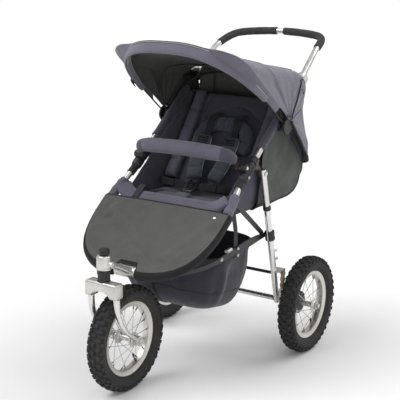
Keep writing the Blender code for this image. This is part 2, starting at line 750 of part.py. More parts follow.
def make_side(side_name, side):
    """One side tube with its bumper socket, leg bracket and handle knuckle."""
    x = side * SIDE_TUBE_X
    socket = on_frame(x, SOCKET_Y)
    knuckle = on_frame(x, KNUCKLE_Y)
    path = [socket + 0.003 * ALONG, knuckle - 0.008 * ALONG]
    attach("pushchair_origin", keep(tube("side_tube_" + side_name, path, TUBE_RADIUS, 12), "silver tube"))

    name = "bumper_socket_" + side_name
    bore = TUBE_RADIUS / math.cos(math.pi / 14) + GAP
    half = SOCKET_LENGTH / 2
    profile = [(0.0, half), (SOCKET_RADIUS - 0.003, half), (SOCKET_RADIUS, half - 0.010),
               (SOCKET_RADIUS, 0.010 - half), (SOCKET_RADIUS - 0.003, -half), (0.0, -half)]
    body = keep(turned(name, profile, socket, ALONG, 14), "black plastic")
    pivot = with_x(BUMPER_PIVOT, x)
    join(body, rod(name + "_boss", pivot - side * BOSS_REACH * ACROSS, pivot + side * 0.009 * ACROSS, 0.0115, 14))
    cut(body, rod(name + "_bore", socket - 0.06 * ALONG, socket + 0.06 * ALONG, bore, 14))
    cut(body, rod(name + "_pin_hole", pivot - side * 0.03 * ACROSS, pivot + side * 0.005 * ACROSS,
                  PIN_RADIUS + RUNNING_GAP))
    attach("pushchair_origin", body)

    name = "leg_bracket_" + side_name
    seat = with_x(LEG_PIVOT + LEG_PIVOT_DROP * SQUARE, x)
    bracket = keep(sleeve(name, seat - 0.011 * ALONG, seat + 0.011 * ALONG, 0.0150, bore, steps=14), "black steel")
    face = LEG_X - LEG_RADIUS - 0.002
    turn = Matrix.Rotation(SLOPE, 4, "X")
    middle = LEG_PIVOT + SQUARE * (LEG_PIVOT_DROP - 0.0135) / 2
    reach = LEG_PIVOT_DROP - 0.0135
    join(bracket, block(name + "_plate", (0.007, 0.022, reach), with_x(middle, side * (face - 0.0035)),
                        turn, 0.0))
    join(bracket, rod(name + "_eye", with_x(LEG_PIVOT, side * (face - 0.007)), with_x(LEG_PIVOT, side * face),
                      0.0125, 14))
    cut(bracket, rod(name + "_hole", with_x(LEG_PIVOT, side * 0.15), with_x(LEG_PIVOT, side * 0.24),
                     PIN_RADIUS + RUNNING_GAP))
    attach("pushchair_origin", bracket)

    name = "handle_knuckle_" + side_name
    half = KNUCKLE_WIDTH / 2
    disc = [(0.0, half), (KNUCKLE_RADIUS - 0.002, half), (KNUCKLE_RADIUS, half - 0.002),
            (KNUCKLE_RADIUS, 0.002 - half), (KNUCKLE_RADIUS - 0.002, -half), (0.0, -half)]
    piece = keep(turned(name, disc, knuckle, ACROSS, 14), "black plastic")
    neck_end = knuckle - 0.034 * ALONG
    join(piece, rod(name + "_neck", knuckle, neck_end, 0.0135, 12))
    cut(piece, rod(name + "_bore", knuckle - 0.0077 * ALONG, knuckle - 0.06 * ALONG, bore, 14))
    cut(piece, rod(name + "_pin_hole", knuckle - 0.03 * ACROSS, knuckle + 0.03 * ACROSS,
                   PIN_RADIUS + RUNNING_GAP))
    attach("pushchair_origin", piece)


make_front_loop()
for side_name, side in (("left", 1), ("right", -1)):
    make_side(side_name, side)


# Handle

def handle_line():
    """The whole handle path, from the child's left knuckle round to the right one."""
    knuckle = on_frame(SIDE_TUBE_X, KNUCKLE_Y)
    start = knuckle + 0.030 * ALONG
    rise = HANDLE_TOP_Z - frame_z(0.150)
    half = [start, on_frame(SIDE_TUBE_X - 0.003, 0.105), on_frame(SIDE_TUBE_X - 0.006, 0.150),
            Vector((HANDLE_CORNER_X, HANDLE_BACK_Y - 0.036, HANDLE_TOP_Z - 0.36 * rise)),
            Vector((HANDLE_CORNER_X * 0.72, HANDLE_BACK_Y - 0.011, HANDLE_TOP_Z - 0.12 * rise)),
            Vector((0.0, HANDLE_BACK_Y, HANDLE_TOP_Z))]
    whole = mirror_path(half)
    return smooth_path(whole, 2)


def make_handle():
    path = handle_line()
    bar = tube_mesh("handle_bar", path, TUBE_RADIUS, 8)
    for side_name, side in (("left", 1), ("right", -1)):
        knuckle = on_frame(side * SIDE_TUBE_X, KNUCKLE_Y)
        turn = Matrix.Rotation(SLOPE, 4, "X")
        outer = KNUCKLE_WIDTH / 2 + 0.0033
        yoke = block("yoke_" + side_name, (2 * outer, 0.040, 0.0258), knuckle + 0.020 * ALONG, turn, 0.0)
        join(bar, yoke)
        join(bar, rod("yoke_end_" + side_name, knuckle - (outer + 0.0002) * ACROSS,
                      knuckle + (outer + 0.0002) * ACROSS, 0.0132, 14))
        slot_half = KNUCKLE_WIDTH / 2 + GAP
        cut(bar, rod("yoke_slot_" + side_name, knuckle - slot_half * ACROSS, knuckle + slot_half * ACROSS,
                     KNUCKLE_RADIUS + 0.0012, 20))
        join(bar, rod("yoke_pin_" + side_name, knuckle - (outer - 0.001) * ACROSS,
                      knuckle + (outer - 0.001) * ACROSS, PIN_RADIUS))
    attach("handle", keep(bar, "silver tube"))

    first = 5
    for side_name, side in (("left", 1), ("right", -1)):
        half = [p for p in path[first:] if p.x > GRIP_SPLIT / 2]
        middle = Vector((GRIP_SPLIT / 2, HANDLE_BACK_Y, HANDLE_TOP_Z))
        line = [mirrored(p, side) for p in half + [middle]]
        grip = pipe_sleeve("handle_grip_" + side_name, line, GRIP_RADIUS, TUBE_RADIUS + 0.0010, 8)
        attach("handle", keep(grip, "foam grip"))


make_handle()


# Rear legs, latches, suspension and brake

def make_rear_legs():
    for side_name, side in (("left", 1), ("right", -1)):
        x = side * LEG_X
        top = with_x(LEG_PIVOT - 0.013 * LEG_LINE, x)
        foot = with_x(LEG_FOOT + 0.012 * LEG_LINE, x)
        name = "rear_leg_" + side_name
        leg = tube_mesh(name, [top, foot], LEG_RADIUS, 10)
        pin_in = side * (LEG_X - LEG_RADIUS - 0.010)
        bolt_out = side * (LEG_X + LEG_RADIUS + 0.003)
        join(leg, rod(name + "_pivot_pin", with_x(LEG_PIVOT, pin_in), with_x(LEG_PIVOT, x), PIN_RADIUS))
        join(leg, rod(name + "_bolt", with_x(LEG_PIVOT, x), with_x(LEG_PIVOT, bolt_out), 0.0065, 6))
        arm_far = side * (ARM_FACE_X + ARM_THICKNESS + 0.0015)
        join(leg, rod(name + "_arm_pin", with_x(LEG_FOOT, x), with_x(LEG_FOOT, arm_far), PIN_RADIUS))
        shelf = on_leg(SPRING_TOP_Z + 0.0035, side * (LEG_X + 0.013))
        shelf_turn = Matrix.Identity(4)
        join(leg, block(name + "_spring_shelf", (0.030, 0.030, 0.006), shelf + Vector((0, 0.012, 0)),
                        shelf_turn, 0.0))
        guide = on_leg(0.498, x)
        join(leg, rod(name + "_guide", guide - 0.007 * LEG_LINE, guide + 0.007 * LEG_LINE, 0.0125, 12))
        attach("rear_legs", keep(leg, "silver tube"))

        latch_seat = on_leg(LATCH_Z, x)
        half = LATCH_LENGTH / 2
        name = "fold_latch_" + side_name
        latch = sleeve(name, latch_seat - half * LEG_LINE, latch_seat + half * LEG_LINE, 0.0155,
                       LEG_RADIUS / math.cos(math.pi / 12) + GAP, 0.002, 12)
        keep(latch, "black plastic")
        ahead = ACROSS.cross(LEG_LINE).normalized()
        if ahead.y > 0:
            ahead = -ahead
        rod_foot = latch_seat + ahead * 0.0145 + LEG_LINE * (half - 0.003)
        rod_top = rod_foot - LEG_LINE * 0.086
        join(latch, rod(name + "_rod", rod_foot, rod_top, 0.0022, 8))
        attach("latch_" + side_name, latch)

    inner = LEG_X - LEG_RADIUS - GAP
    bar = tube("lower_crossbar", [with_x(LEG_FOOT, inner), with_x(LEG_FOOT, -inner)], 0.0085, 12)
    attach("rear_legs", keep(bar, "silver tube"))

    middle = on_leg(BRAKE_BAR_Z)
    brake = rod("brake_bar", with_x(middle, -inner), with_x(middle, inner), BRAKE_BAR_RADIUS, 12)
    pedal_turn = Matrix.Rotation(math.radians(-14), 4, "X")
    pedal = block("brake_pedal", (0.056, 0.052, 0.006), middle + Vector((-0.03, 0.027, -0.006)), pedal_turn, 0.002)
    join(brake, pedal)
    attach("brake", keep(brake, "black steel"))


def make_suspension():
    for side_name, side in (("left", 1), ("right", -1)):
        face = side * ARM_FACE_X
        far = side * (ARM_FACE_X + ARM_THICKNESS)
        foot = LEG_FOOT
        axle = REAR_AXLE
        seat_z = SPRING_FOOT_Z - 0.0005
        outline = []
        for angle in (200, 230, 260, 290):
            outline.append((foot.y + 0.013 * math.cos(math.radians(angle)),
                            foot.z + 0.013 * math.sin(math.radians(angle))))
        for angle in (250, 285, 320, 355, 30, 65):
            outline.append((axle.y + 0.016 * math.cos(math.radians(angle)),
                            axle.z + 0.016 * math.sin(math.radians(angle))))
        outline += [(foot.y + 0.034, foot.z + 0.010), (foot.y + 0.018, seat_z), (foot.y - 0.008, seat_z)]
        name = "rear_arm_" + side_name
        arm = plate(name, outline, face, far, with_x(LEG_FOOT, face))
        cut(arm, rod(name + "_hole", with_x(foot, side * 0.2), with_x(foot, side * 0.25), PIN_RADIUS + RUNNING_GAP))
        hub_far = HALF_TRACK + HUB_LENGTH / 2
        join(arm, rod(name + "_stub", with_x(axle, side * (ARM_FACE_X + 0.002)), with_x(axle, side * (hub_far + 0.006)),
                      AXLE_RADIUS))
        join(arm, rod(name + "_nut", with_x(axle, side * (hub_far + GAP)), with_x(axle, side * (hub_far + 0.006)),
                      0.0080, 6))
        attach("arm_" + side_name, keep(arm, "cast silver"))

        spring_y = LEG_FOOT_Y + 0.005
        count = 3
        height = SPRING_TOP_Z - SPRING_FOOT_Z
        profile = [(0.0, height / 2)]
        for k in range(count):
            top = height / 2 - k * height / count
            profile += [(SPRING_RADIUS * 0.72, top), (SPRING_RADIUS, top - height / count * 0.25),
                        (SPRING_RADIUS, top - height / count * 0.75)]
        profile += [(SPRING_RADIUS * 0.72, -height / 2), (0.0, -height / 2)]
        spring_x = side * (ARM_FACE_X + ARM_THICKNESS / 2 + 0.001)
        centre = Vector((spring_x, spring_y, (SPRING_TOP_Z + SPRING_FOOT_Z) / 2))
        spring = turned("rear_spring_" + side_name, profile, centre, UP, 8)
        attach("arm_" + side_name, keep(spring, "elastomer"))


make_rear_legs()
make_suspension()


# Lower rails and struts

def make_rail(side_name, side):
    rear = on_leg(LATCH_Z)
    front_drop = TUBE_RADIUS + GAP + 0.0030
    front = Vector((loop_x(RAIL_FRONT_Y), RAIL_FRONT_Y, frame_z(RAIL_FRONT_Y) - front_drop / math.cos(SLOPE)))
    line = [Vector((RAIL_X, rear.y + 0.012, rear.z + 0.001)), Vector((RAIL_X, -0.240, 0.399)),
            Vector((RAIL_X, -0.400, 0.381)), Vector((RAIL_X - 0.010, -0.490, 0.372)), front]
    path = [mirrored(p, side) for p in smooth_path(line, 3)]
    last = len(path) - 1

    def bar_section(i):
        t = i / last
        half_high = 0.0065 + 0.0065 * math.sin(math.pi * min(t / 0.62, 1.0)) ** 2
        half_thick = RAIL_THICKNESS / 2
        return [(half_thick, half_high), (-half_thick, half_high), (-half_thick, -half_high),
                (half_thick, -half_high)]

    rail = loft("side_rail_" + side_name, swept_rings(path, lambda i: ACROSS.copy(), bar_section))
    attach("pushchair_origin", keep(rail, "black steel"))

    top = Vector((STRUT_TOP_X, -0.352, frame_z(-0.352) - 0.003))
    low = Vector((STRUT_X, rear.y - 0.006, rear.z + 0.004))
    line = [mirrored(low, side), mirrored(low.lerp(top, 0.5), side), mirrored(top, side)]
    half_thick = STRUT_THICKNESS / 2
    section = [(half_thick, 0.008), (-half_thick, 0.008), (-half_thick, -0.008), (half_thick, -0.008)]
    strut = loft("rail_strut_" + side_name, swept_rings(line, lambda i: ACROSS.copy(), lambda i: section))
    attach("pushchair_origin", keep(strut, "black steel"))


for side_name, side in (("left", 1), ("right", -1)):
    make_rail(side_name, side)


# Bumper bar

def make_bumper():
    eye_x = SIDE_TUBE_X - BOSS_REACH - GAP - BUMPER_CORE_RADIUS
    pivot = with_x(BUMPER_PIVOT, eye_x)
    half = [pivot, pivot + Vector((-0.003, -0.016, 0.020)),
            Vector((eye_x - 0.018, BUMPER_FRONT_Y + 0.012, BUMPER_TOP_Z - 0.008)),
            Vector((eye_x * 0.45, BUMPER_FRONT_Y + 0.003, BUMPER_TOP_Z - 0.002)),
            Vector((0.0, BUMPER_FRONT_Y, BUMPER_TOP_Z))]
    path = smooth_path(mirror_path(half), 2)
    core = tube_mesh("bumper_core", path, BUMPER_CORE_RADIUS, 6)
    for side_name, side in (("left", 1), ("right", -1)):
        eye = with_x(BUMPER_PIVOT, side * eye_x)
        thick = BUMPER_CORE_RADIUS - 0.0002
        join(core, rod("bumper_eye_" + side_name, eye - thick * ACROSS, eye + thick * ACROSS, 0.0110, 12))
        join(core, rod("bumper_pin_" + side_name, eye, with_x(eye, side * (SIDE_TUBE_X + 0.004)), PIN_RADIUS))
    attach("bumper", keep(core, "black plastic"))

    line = path[2:-2]
    last = len(line) - 1

    def pad_radius(i):
        t = min(i, last - i) / last
        return BUMPER_PAD_RADIUS * (0.70 + 0.30 * min(t / 0.16, 1.0) ** 0.5)

    pad = pipe_sleeve("bumper_pad", line, BUMPER_PAD_RADIUS, BUMPER_CORE_RADIUS + 0.0014, 8, pad_radius)
    attach("bumper", keep(pad, "navy fabric"))


make_bumper()


# Hood: bows and brim turn about one axis, and the cloth fans out between them

def in_bow_plane(angle, x, reach):
    return HOOD_PIVOT + Vector((x, math.cos(angle) * reach, math.sin(angle) * reach))


def bow_line(angle, half_width, reach, power, start=0.0, steps=7):
    """Half of a bow, as a squarish arch from its pivot up to the middle plane."""
    half = []
    for k in range(steps + 1):
        turn = start + (math.pi / 2 - start) * k / steps
        x = half_width * max(math.cos(turn), 0.0) ** (2 / power)
        r = reach * math.sin(turn) ** (2 / power)
        half.append(in_bow_plane(angle, x if k < steps else 0.0, r))
    return half


def make_bow(name, angle, x, reach, power, finish, body):
    path = mirror_path(bow_line(angle, x, reach, power))
    bow = tube_mesh(name, path, BOW_THICKNESS / 2, 6)
    for side in (1, -1):
        centre = with_x(HOOD_PIVOT, side * x)
        thick = BOW_THICKNESS / 2
        join(bow, rod(f"{name}_eye_{side}", centre - thick * ACROSS, centre + thick * ACROSS, 0.0100, 10))
        cut(bow, rod(f"{name}_hole_{side}", centre - 0.02 * ACROSS, centre + 0.02 * ACROSS,
                     PIN_RADIUS + RUNNING_GAP))
    attach(body, keep(bow, finish))


REAR_BOW_X = SIDE_TUBE_X + TUBE_RADIUS + GAP + 0.0065
MID_BOW_X = REAR_BOW_X + BOW_THICKNESS + 0.0030
FRONT_BOW_X = MID_BOW_X + BOW_THICKNESS + 0.0015


def make_rear_bow():
    """The fixed rear bow, with the two clamps and pivot pins that carry the others."""
    path = mirror_path(bow_line(REAR_BOW_ANGLE, REAR_BOW_X, REAR_BOW_REACH, 3.4))
    bow = tube_mesh("hood_rear_bow", path, BOW_THICKNESS / 2, 6)
    inner = SIDE_TUBE_X + TUBE_RADIUS + GAP
    for side in (1, -1):
        pivot = with_x(HOOD_PIVOT, side * (REAR_BOW_X + BOW_THICKNESS / 2))
        join(bow, rod(f"hood_clamp_{side}", with_x(HOOD_PIVOT, side * inner), pivot, 0.0170, 14))
        cap_from = FRONT_BOW_X + BOW_THICKNESS / 2 + GAP
        cap_to = HOOD_HALF_WIDTH - CLOTH / 2 - 2 * GAP
        join(bow, rod(f"hood_pin_{side}", with_x(HOOD_PIVOT, side * (inner + 0.002)),
                      with_x(HOOD_PIVOT, side * (cap_to - 0.001)), PIN_RADIUS))
        join(bow, rod(f"hood_cap_{side}", with_x(HOOD_PIVOT, side * cap_from),
                      with_x(HOOD_PIVOT, side * cap_to), HOOD_CAP_RADIUS, 14))
    attach("pushchair_origin", keep(bow, "black plastic"))


def make_brim():
    """A padded band on the outside of the front bow, thinner towards its two ends."""
    rise = BOW_THICKNESS / 2 + GAP + BRIM_THICKNESS / 2
    start = 0.24
    half = bow_line(FRONT_BOW_ANGLE, FRONT_BOW_X + rise, FRONT_BOW_REACH + rise, 2.9, start, 11)
    path = mirror_path(half)
    normal = Vector((0.0, -math.sin(FRONT_BOW_ANGLE), math.cos(FRONT_BOW_ANGLE)))
    last = len(path) - 1

    def brim_section(i):
        t = min(i, last - i) / last
        width = BRIM_WIDTH / 2 * (0.45 + 0.55 * min(t / 0.30, 1.0))
        puff = 1.0 - 0.10 * (i % 3 == 0)
        points = ring_section(1.0, 10, power=2.6)
        return [(a * width, b * BRIM_THICKNESS / 2 * puff) for a, b in points]

    brim = loft("hood_brim", swept_rings(path, lambda i: normal.copy(), brim_section), sharp=60)
    attach("hood_front", keep(brim, "navy fabric"))


def u_row(inner, outer, inner_x, outer_x, corner, crown):
    """One row of cloth: up one side from inner to outer, across with a crown, and down again."""
    inner = Vector((0.0, *inner))
    outer = Vector((0.0, *outer))
    out = (outer - inner).normalized()
    reach = (outer - inner).length
    row = []
    for t in (0.0, 0.5, 1.0):
        r = t * (reach - corner)
        x = inner_x + (outer_x - inner_x) * r / reach
        row.append(inner + out * r + x * ACROSS)
    for k in range(1, 4):
        angle = math.pi / 2 * k / 3
        row.append(inner + out * (reach - corner + corner * math.sin(angle))
                   + (outer_x - corner + corner * math.cos(angle)) * ACROSS)
    flat = outer_x - corner
    for t in (0.6, 0.25):
        row.append(inner + out * (reach + crown * (1 - t * t)) + t * flat * ACROSS)
    return row + [Vector((-p.x, p.y, p.z)) for p in reversed(row)]


def make_canopy():
    """The hood cloth: a fan about the pivot from behind the brim down to the low rear corner."""
    back = 0.021
    normal = Vector((0.0, math.sin(FRONT_BOW_ANGLE), -math.cos(FRONT_BOW_ANGLE)))
    fan_centre = HOOD_PIVOT + back * normal
    front_outer = in_bow_plane(FRONT_BOW_ANGLE, 0, FRONT_BOW_REACH - 0.022) + back * normal
    outer_line = [front_outer, Vector((0, -0.330, 0.968)), Vector((0, -0.235, 0.946)), Vector((0, -0.130, 0.930)),
                  Vector((0, -0.050, 0.916)), Vector((0, 0.012, 0.905)), Vector((0, 0.050, 0.884)),
                  Vector((0, 0.066, 0.840)), Vector((0, 0.072, 0.775)), Vector((0, 0.098, 0.712)),
                  Vector((0, 0.122, 0.655)), Vector((0, 0.132, 0.598))]
    inner_line = []
    for point in outer_line:
        out = (point - fan_centre).normalized()
        inner_line.append(fan_centre + out * 0.008)
    grid = []
    last = len(outer_line) - 1
    for i, (inner, outer) in enumerate(zip(inner_line, outer_line)):
        t = i / last
        outer_x = 0.232 - 0.011 * min(t / 0.4, 1.0)
        corner = 0.085 - 0.045 * min(t / 0.35, 1.0)
        crown = 0.020 * (1 - 0.6 * t)
        grid.append(u_row(inner.yz, outer.yz, HOOD_HALF_WIDTH, outer_x, corner, crown))
    canopy = cloth_shell("hood_canopy", grid)
    slot = [(HANDLE_PIVOT.y - 0.020, HANDLE_PIVOT.z - 0.020)]
    for angle in (-48, -20, 10, 40, 70, 95):
        slot.append((HANDLE_PIVOT.y + 0.060 * math.cos(math.radians(angle)),
                     HANDLE_PIVOT.z + 0.060 * math.sin(math.radians(angle))))
    slot_half = KNUCKLE_WIDTH / 2 + 0.0055
    for side in (1, -1):
        cut(canopy, plate(f"canopy_slot_{side}", slot, side * (SIDE_TUBE_X - slot_half),
                          side * (SIDE_TUBE_X + slot_half)))
    attach("pushchair_origin", keep(canopy, "navy fabric"))


make_bow("hood_front_bow", FRONT_BOW_ANGLE, FRONT_BOW_X, FRONT_BOW_REACH, 2.9, "black plastic", "hood_front")
make_bow("hood_mid_bow", MID_BOW_ANGLE, MID_BOW_X, MID_BOW_REACH, 3.4, "black plastic", "hood_mid")
make_rear_bow()
make_brim()
make_canopy()


# Seat

def make_seat_shell():
    """The sling seat: a base with a front roll, and a side wall up to each tube."""
    rear_y = LEG_PIVOT_Y + 0.0015
    wall = CLOTH
    inside = SEAT_HALF_WIDTH
    width = 2 * inside
    length = rear_y - SEAT_FRONT_Y
    base = block("seat_shell", (width, length, wall), (0, SEAT_FRONT_Y + length / 2, SEAT_Z), None, 0.0)
    keep(base, "navy fabric")
    roll = Vector((0, SEAT_FRONT_Y, SEAT_Z + 0.006))
    join(base, rod("seat_roll", with_x(roll, -inside - 0.001), with_x(roll, inside + 0.001), SEAT_ROLL_RADIUS, 16))
    drop = 0.006 / math.cos(SLOPE)
    outline = [(SEAT_FRONT_Y - 0.010, SEAT_Z - wall / 2), (rear_y, SEAT_Z - wall / 2),
               (BACK_PIVOT_Y + 0.020, BACK_PIVOT_Z + 0.005), (KNUCKLE_Y - 0.035, frame_z(KNUCKLE_Y - 0.035) - drop - 0.012),
               (KNUCKLE_Y - 0.035, frame_z(KNUCKLE_Y - 0.035) - drop),
               (SEAT_FRONT_Y + 0.015, frame_z(SEAT_FRONT_Y + 0.015) - drop)]
    for side_name, side in (("left", 1), ("right", -1)):
        join(base, plate("seat_wall_" + side_name, outline, side * (inside - wall), side * (inside + 0.0005)))
        hem_from = inside - wall / 2
        hem_to = SIDE_TUBE_X - TUBE_RADIUS - GAP
        hem = on_frame(side * (hem_from + hem_to) / 2, (HEM_FRONT_Y + HEM_REAR_Y) / 2) - 0.004 * SQUARE
        size = (hem_to - hem_from, (HEM_REAR_Y - HEM_FRONT_Y) / math.cos(SLOPE), 0.010)
        join(base, block("seat_hem_" + side_name, size, hem, Matrix.Rotation(SLOPE, 4, "X"), 0.0))
    attach("pushchair_origin", base)


def cushion(name, path, half_width, half_thick, finish, body, origin, channels=(), power=3.4, sides=14, ends=0.03):
    """A stuffed pad along a path: crowned, drawn in at its sides and narrowed at its channels."""
    lengths = [0.0]
    for a, b in zip(path, path[1:]):
        lengths.append(lengths[-1] + (b - a).length)
    total = lengths[-1]

    def section(i):
        s = lengths[i]
        near_end = min(s, total - s)
        edge = math.sqrt(max(1 - (1 - min(near_end / ends, 1.0)) ** 2, 0.0))
        seam = sum(math.exp(-((s / total - c) * total / 0.010) ** 2) for c in channels)
        width = half_width(s / total) * (0.93 + 0.07 * edge) * (1 - 0.012 * seam)
        thick = half_thick * (0.30 + 0.70 * edge) * (1 - 0.30 * min(seam, 1.0))
        return [(a * width, b * thick) for a, b in ring_section(1.0, sides, power=power)]

    pad = loft(name, swept_rings(path, lambda i: ACROSS.copy(), section), origin, sharp=60)
    attach(body, keep(pad, finish))
    return pad


def back_point(s, lift, x=0.0):
    """A point s up the backrest from its pivot, lift in front of its middle surface."""
    along = Vector((0.0, math.cos(BACK_ANGLE), math.sin(BACK_ANGLE)))
    square = Vector((0.0, -math.sin(BACK_ANGLE), math.cos(BACK_ANGLE)))
    hollow = -0.006 * math.sin(math.pi * min(max(s / BACK_LENGTH, 0.0), 1.0))
    return BACK_PIVOT + along * s + square * (lift + hollow) + x * ACROSS


def make_seat():
    seat_mid = SEAT_Z + CLOTH / 2 + GAP + PAD_HALF_THICKNESS
    front_y = SEAT_FRONT_Y + SEAT_ROLL_RADIUS + GAP + 0.004
    rear_y = BACK_PIVOT_Y - PAD_HALF_THICKNESS - GAP
    count = 12
    line = [Vector((0, front_y + (rear_y - front_y) * k / count, seat_mid)) for k in range(count + 1)]
    cushion("seat_cushion", line, lambda t: SEAT_HALF_WIDTH - CLOTH - 0.006, PAD_HALF_THICKNESS, "dark fabric",
            "pushchair_origin", line[0], channels=(0.5,))
    count = 16
    first = -PAD_HALF_THICKNESS * 0.9
    line = [back_point(first + (BACK_LENGTH - first) * k / count, 0.0) for k in range(count + 1)]
    pad = cushion("backrest_pad", line, lambda t: BACK_HALF_WIDTH - 0.012 * (1 - t), PAD_HALF_THICKNESS,
                  "dark fabric", "backrest", BACK_PIVOT, channels=(0.30, 0.62), ends=0.014)
    batten_half = SEAT_HALF_WIDTH - CLOTH - GAP
    batten = rod("back_batten", with_x(BACK_PIVOT, -batten_half), with_x(BACK_PIVOT, batten_half), 0.005, 10)
    join(pad, batten)
    attach("backrest", batten)

    lift = PAD_HALF_THICKNESS + 0.0020
    strap = [(0.040, 0.186), (0.042, 0.155), (0.040, 0.110), (0.028, 0.060), (0.0, 0.036)]
    half = [back_point(s, lift + 0.001, x) for x, s in strap]
    path = smooth_path(mirror_path(half), 2)
    square = back_point(0.1, 1.0) - back_point(0.1, 0.0)
    section = [(a * 0.0022, b * 0.0160) for a, b in ring_section(1.0, 8, power=4.0)]
    harness = loft("shoulder_harness", swept_rings(path, lambda i: square.copy(), lambda i: section), BACK_PIVOT)
    attach("backrest", keep(harness, "webbing"))

    roll = [(0.086, 0.132), (0.090, 0.168), (0.078, 0.202), (0.046, 0.221), (0.0, 0.226)]
    half = [back_point(s, PAD_HALF_THICKNESS + 0.0165, x) for x, s in roll]
    path = smooth_path(mirror_path(half), 2)
    last = len(path) - 1

    def roll_section(i):
        t = min(i, last - i) / last
        fill = 0.62 + 0.38 * min(t / 0.12, 1.0)
        return [(a * PILLOW_HALF_THICKNESS * fill, b * PILLOW_HALF_WIDTH * fill)
                for a, b in ring_section(1.0, 10)]

    pillow = loft("neck_pillow", swept_rings(path, lambda i: square.copy(), roll_section), BACK_PIVOT, sharp=60)
    attach("backrest", keep(pillow, "slate fabric"))

    top = SEAT_Z + CLOTH / 2 + 2 * PAD_HALF_THICKNESS + 0.0030
    line = [Vector((0, SEAT_FRONT_Y + 0.036, top)), Vector((0, SEAT_FRONT_Y + 0.070, top + 0.002)),
            Vector((0, SEAT_FRONT_Y + 0.094, top + 0.009))]
    path = smooth_path(line, 3)
    section = [(a * 0.0150, b * 0.0020) for a, b in ring_section(1.0, 8, power=4.0)]
    strap = loft("crotch_strap", swept_rings(path, lambda i: ACROSS.copy(), lambda i: section))
    keep(strap, "webbing")
    buckle_turn = Matrix.Rotation(math.radians(16), 4, "X")
    join(strap, block("buckle", (0.042, 0.036, 0.011), line[2] + Vector((0, 0.010, 0.004)), buckle_turn, 0.003))
    attach("pushchair_origin", strap)


def make_pouch():
    """The rear pouch: mesh gussets that widen backwards from the tubes, and a floor between them."""
    under = SEAT_Z - CLOTH - GAP
    outer_line = [Vector((0, LEG_PIVOT_Y + 0.003, under)), Vector((0, -0.150, under)), Vector((0, -0.054, 0.4925)),
                  Vector((0, 0.040, 0.5020)), Vector((0, 0.092, 0.5400)), Vector((0, 0.112, 0.5900)),
                  Vector((0, 0.100, 0.6600)), Vector((0, 0.078, 0.7200)), Vector((0, 0.058, 0.7720))]
    tube_y = [-0.222, -0.200, -0.170, -0.135, -0.105, -0.075, -0.045, -0.015, -0.004]
    inner_line = [on_frame(0, y) - (TUBE_RADIUS + 0.0028) * SQUARE for y in tube_y]
    inner_line[0] = inner_line[0] - 0.050 * SQUARE
    inner_line[1] = inner_line[1] - 0.020 * SQUARE
    grid = []
    for inner, outer in zip(inner_line, outer_line):
        grid.append(u_row(inner.yz, outer.yz, POUCH_HALF_WIDTH, POUCH_HALF_WIDTH, 0.022, 0.0))
    pouch = cloth_shell("rear_pouch", grid)
    attach("pushchair_origin", keep(pouch, "mesh fabric"))


def make_apron():
    """The leg apron: a slightly sagging sheet over the front loop, rounded in front."""
    rows = []
    rear_y = SEAT_FRONT_Y - SEAT_ROLL_RADIUS - 0.018
    count = 9
    columns = 6
    lift = TUBE_RADIUS + CLOTH / 2 + GAP
    over = TUBE_RADIUS + 0.004
    front_y = LOOP_FRONT_Y - over * math.cos(SLOPE)
    for k in range(count + 1):
        t = math.sin(math.pi / 2 * k / count)
        y = rear_y + (front_y - rear_y) * t
        if y < LOOP_BEND_Y:
            reach = min((LOOP_BEND_Y - y) / (LOOP_BEND_Y - front_y), 0.9995)
            half = (LOOP_HALF_WIDTH + over) * (1 - reach ** LOOP_POWER) ** (1 / LOOP_POWER)
        else:
            half = LOOP_HALF_WIDTH + over - 0.002
        row = []
        for j in range(columns + 1):
            u = 2 * j / columns - 1
            row.append(on_frame(half * u, y) + (lift + 0.004 * (1 - u * u)) * SQUARE)
        rows.append(row)
    apron = cloth_shell("apron", rows)
    notch_half = CLAMP_HALF_LENGTH + 0.001
    behind = TUBE_RADIUS + CLAMP_WALL + 0.001
    middle = on_frame(0, LOOP_FRONT_Y) + 0.010 * SQUARE + (behind - 0.030) * ALONG
    cut(apron, block("apron_notch", (2 * notch_half, 0.060, 0.060), middle, Matrix.Rotation(SLOPE, 4, "X"), 0.0))
    attach("pushchair_origin", keep(apron, "apron fabric"))


def make_basket():
    """The shopping basket: rings that shrink and round off from the rim to the sagging floor."""
    depth = BASKET_RIM_Z - BASKET_FLOOR_Z
    middle_y = (BASKET_FRONT_Y + BASKET_REAR_Y) / 2
    half_long = (BASKET_REAR_Y - BASKET_FRONT_Y) / 2
    levels = [(0.0, 1.00, 1.00), (0.18, 0.985, 0.99), (0.42, 0.95, 0.95), (0.66, 0.89, 0.88), (0.84, 0.79, 0.76),
              (0.95, 0.62, 0.58), (1.0, 0.36, 0.34)]
    rings = []
    sides = 16
    widest = max(a for a, b in ring_section(1.0, sides, power=4.2))
    half_wide = (RAIL_X - RAIL_THICKNESS / 2 - GAP - CLOTH / 2) / widest
    for down, wide, long in levels:
        ring = []
        for a, b in ring_section(1.0, sides, power=4.2):
            y = middle_y - 0.010 * down + b * half_long * long
            tilt = (y - middle_y) * (0.10 - 0.26 * down)
            fold = 0.004 * math.sin(9 * math.atan2(b, a)) * math.sin(math.pi * min(down, 1.0))
            ring.append(Vector((a * (half_wide * wide + fold), y, BASKET_RIM_Z - depth * down + tilt)))
        rings.append(ring)
    basket = cloth_shell("basket", rings, closed_rows=True)
    attach("pushchair_origin", keep(basket, "basket fabric"))


make_seat_shell()
make_seat()
make_pouch()
make_apron()
make_basket()

bodies["pushchair_origin"].location = (0.0, -LENGTH_MIDDLE, 0.0)
print("objects", len([o for o in parts.objects if o.type != "EMPTY"]))
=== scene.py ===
import math
from contextlib import contextmanager

import bmesh
import bpy
import numpy as np
from mathutils import Matrix, Vector


